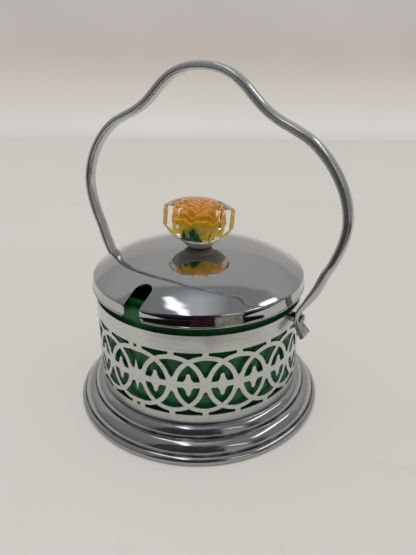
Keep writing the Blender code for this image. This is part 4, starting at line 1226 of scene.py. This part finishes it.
def table_material():
    """The pale, scuffed table. The camera sees mostly its own colour, so its shadows stay faint."""
    material, nodes, shader = principled("pale_table", Roughness=0.6)
    place = nodes.object_place()
    cloud = nodes.span(nodes.noise(place, 3.0, 3.0), 0.35, 0.65)
    scuffs = nodes.span(nodes.streaks(place, (14.0, 40.0, 14.0), 5.0), 0.66, 0.74)
    base = nodes.mix(cloud, (0.655, 0.628, 0.585), (0.680, 0.652, 0.610))
    colour = nodes.mix(nodes.product(scuffs, 0.12), base, (0.42, 0.40, 0.36))
    nodes.fill(shader, Base_Color=colour)
    seen = nodes.add("ShaderNodeLightPath").outputs["Is Camera Ray"]
    glow = nodes.add("ShaderNodeEmission", Color=colour, Strength=TABLE_GLOW)
    nodes.show(nodes.product(seen, TABLE_GLOW_SHARE), shader, glow)
    return material


def wall_material():
    """The pale wall. Camera, glossy and transmission rays see it glow in a colour with painted light: a
    little darker right at the table, brightest just above it and darker upward.
    """
    material, nodes, shader = principled("pale_wall", Roughness=0.7)
    place = nodes.object_place()
    cloud = nodes.span(nodes.noise(place, 2.2, 3.0), 0.35, 0.65)
    nodes.fill(shader, Base_Color=nodes.mix(cloud, (0.60, 0.555, 0.515), (0.625, 0.585, 0.545)))
    # painted light: the shown colour follows height, darker right at the table, brightest just above it and
    # darker upward
    shown = nodes.ramp(nodes.span(nodes.split(place)["Z"], 0.0, WALL_TOP), WALL_PAINTED_LIGHT)
    shown = nodes.mix(nodes.product(cloud, 0.4), shown, (0.56, 0.52, 0.48))
    paths = nodes.add("ShaderNodeLightPath").outputs
    seen = nodes.math("ADD", paths["Is Camera Ray"], paths["Is Glossy Ray"])
    seen = nodes.math("ADD", seen, paths["Is Transmission Ray"], clamp=True)
    nodes.show(seen, shader, nodes.add("ShaderNodeEmission", Color=shown))
    return material


def make_stage():
    """The table with its near edge, the dark floor below it with two mats, and the wall behind."""
    turn = Matrix.Rotation(CAMERA_HEADING, 4, "Z")
    reach = STAGE_REACH
    outline = [(-reach, -TABLE_LEFT_EDGE), (-TABLE_SIDE, -TABLE_LEFT_EDGE), (0, -TABLE_EDGE)]
    outline += [(TABLE_SIDE, -TABLE_RIGHT_EDGE), (reach, -TABLE_RIGHT_EDGE), (reach, reach), (-reach, reach)]
    floor = flat_sheet("table_top", [(x, y, 0) for x, y in outline], table_material(), turn)
    ground = principled("dark_ground", Base_Color=GROUND_COLOUR, **MATT)[0]
    square = ((-reach, -reach), (reach, -reach), (reach, reach), (-reach, reach))
    below = flat_sheet("dark_floor", [(x, y, -TABLE_HEIGHT) for x, y in square], ground)
    mats = [floor_mat(*row) for row in FLOOR_MATS]
    edges = ((-reach, -TABLE_HEIGHT), (reach, -TABLE_HEIGHT), (reach, WALL_TOP), (-reach, WALL_TOP))
    upright = [(x, WALL_DISTANCE, z) for x, z in edges]
    back = flat_sheet("back_wall", upright, wall_material(), turn @ Matrix.Rotation(WALL_TURN, 4, "Z"))


def tube_share(nodes, across, forward, start, end, half_width, blur):
    """The soft-edged share of one straight length of a light on the ceiling."""
    length = math.dist(start, end)
    run = ((end[0] - start[0]) / length, (end[1] - start[1]) / length)
    side = nodes.math("SUBTRACT", across, start[0])
    ahead = nodes.math("SUBTRACT", forward, start[1])
    along = nodes.total(nodes.product(side, run[0]), nodes.product(ahead, run[1]))
    off = nodes.math("SUBTRACT", nodes.product(side, run[1]), nodes.product(ahead, run[0]))
    off = nodes.span(nodes.math("ABSOLUTE", off), half_width + blur, half_width)
    return nodes.product(off, nodes.span(along, -blur, 0.0), nodes.span(along, length + blur, length))


def make_world():
    """A plain room: grey overhead, pale walls around and a tall dark screen behind the camera."""
    world = bpy.data.worlds.new("plain_room")
    bpy.context.scene.world = world
    world.use_nodes = True
    nodes = Nodes(world.node_tree)
    direction = nodes.add("ShaderNodeTexCoord").outputs["Generated"]
    height = nodes.split(direction)["Z"]
    backward = nodes.dot(direction, (math.sin(VIEW_TURN), -math.cos(VIEW_TURN), 0.0))
    rightward = nodes.dot(direction, (math.cos(VIEW_TURN), math.sin(VIEW_TURN), 0.0))
    climb = nodes.math("ARCTAN2", nodes.math("MAXIMUM", height, 0.0), nodes.product(backward, -1.0))
    upper = nodes.ramp(nodes.math("DIVIDE", climb, math.pi), ROOM_OVERHEAD)
    heading = nodes.math("ARCTAN2", rightward, backward)
    turn = nodes.math("ADD", nodes.math("DIVIDE", heading, math.tau), 0.5)
    overhead = nodes.span(height, OVERHEAD_START, OVERHEAD_SOLID)
    room = nodes.mix(overhead, nodes.ramp(turn, ROOM_AROUND), upper)
    screen = nodes.product(
        nodes.span(turn, SCREEN_START, SCREEN_START + SCREEN_BLUR),
        nodes.span(turn, SCREEN_END, SCREEN_END - SCREEN_BLUR),
        nodes.span(height, SCREEN_TOP, SCREEN_TOP_SOLID),
    )
    patches = nodes.span(nodes.noise(direction, 5.0, 3.0), 0.52, 0.66)
    room = nodes.mix(screen, room, nodes.mix(patches, (0.018, 0.017, 0.021), (0.10, 0.105, 0.125)))
    above = nodes.math("MAXIMUM", height, LEAST_HEIGHT)
    across = nodes.math("DIVIDE", rightward, above)
    forward = nodes.math("DIVIDE", backward, above)
    for points, half_width, blur, strength, colour in CEILING_LIGHTS:
        ends = zip(points, points[1:])
        lengths = [tube_share(nodes, across, forward, *pair, half_width, blur) for pair in ends]
        share = reduce(lambda first, second: nodes.math("MAXIMUM", first, second), lengths)
        room = nodes.mix(nodes.product(share, strength), room, colour)
    nodes.fill(world.node_tree.nodes["Background"], Color=room, Strength=1.0)


def make_fill_lamp():
    """A broad soft fill from the ceiling. The tubes that the plate mirrors are in the world."""
    data = bpy.data.lights.new("ceiling_fill", "AREA")
    data.shape = "RECTANGLE"
    data.size = FILL_SIZE
    data.size_y = FILL_SIZE
    data.energy = FILL_POWER
    lamp = placed("ceiling_fill", data)
    lamp.location = (0, 0, FILL_HEIGHT)
    lamp.visible_glossy = False


def make_camera():
    """The photograph's view."""
    data = bpy.data.cameras.new("view")
    data.sensor_width = 36.0
    data.lens = CAMERA_LENS
    data.clip_start = 0.01
    camera = placed("view", data)
    turn = Matrix.Rotation(CAMERA_HEADING, 4, "Z") @ Matrix.Rotation(math.pi / 2 - CAMERA_PITCH, 4, "X")
    camera.matrix_world = Matrix.Translation(CAMERA_PLACE) @ turn @ Matrix.Rotation(CAMERA_ROLL, 4, "Z")
    bpy.context.scene.camera = camera


def main():
    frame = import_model()
    nodes = frame["nodes"]
    make_camera()
    bpy.context.scene.view_settings.view_transform = "Standard"
    make_world()
    make_fill_lamp()
    make_stage()

    wear = handled_plate_group()
    sheet_chrome, base_chrome, strip_chrome, bail_chrome, rivet_chrome = (
        plate_material(wear, *row) for row in PLATES
    )
    plaster = plaster_material()
    leaf_dye = leaf_material()
    steel = steel_material()

    made = [
        (make_base(base_chrome), "stand", "base", "plated_sheet"),
        (make_gallery(strip_chrome), "stand", "gallery", "plated_sheet"),
        (make_bail(bail_chrome), "handle", "bail", "plated_bail"),
        (make_liner(green_glass_material()), "liner", "glass_liner", "green_glass"),
        (make_lid(sheet_chrome), "cover", "lid", "plated_sheet"),
        (make_knob_block(acrylic_material()), "cover", "knob_body", "clear_acrylic"),
        (make_flower(petal_material()), "cover", "rose_bloom", "petal_orange"),
        (make_filler(plaster), "cover", "knob_plug", "cream_plaster"),
        (make_coat(plaster), "cover", "knob_plug", "cream_plaster"),
    ]
    for name, node, heading, left, right, height in LEAVES:
        made.append((make_leaf(name, heading, left, right, height, leaf_dye), "cover", node, "leaf_green"))
    for piece, body, node, slot in made:
        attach(piece, body)
        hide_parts(node)
    for name in ("pivot_rivet_left", "pivot_rivet_right"):
        dress_node(nodes[name], rivet_chrome)
    for name in ("knob_screw", "knob_washer"):
        dress_node(nodes[name], steel)


main()
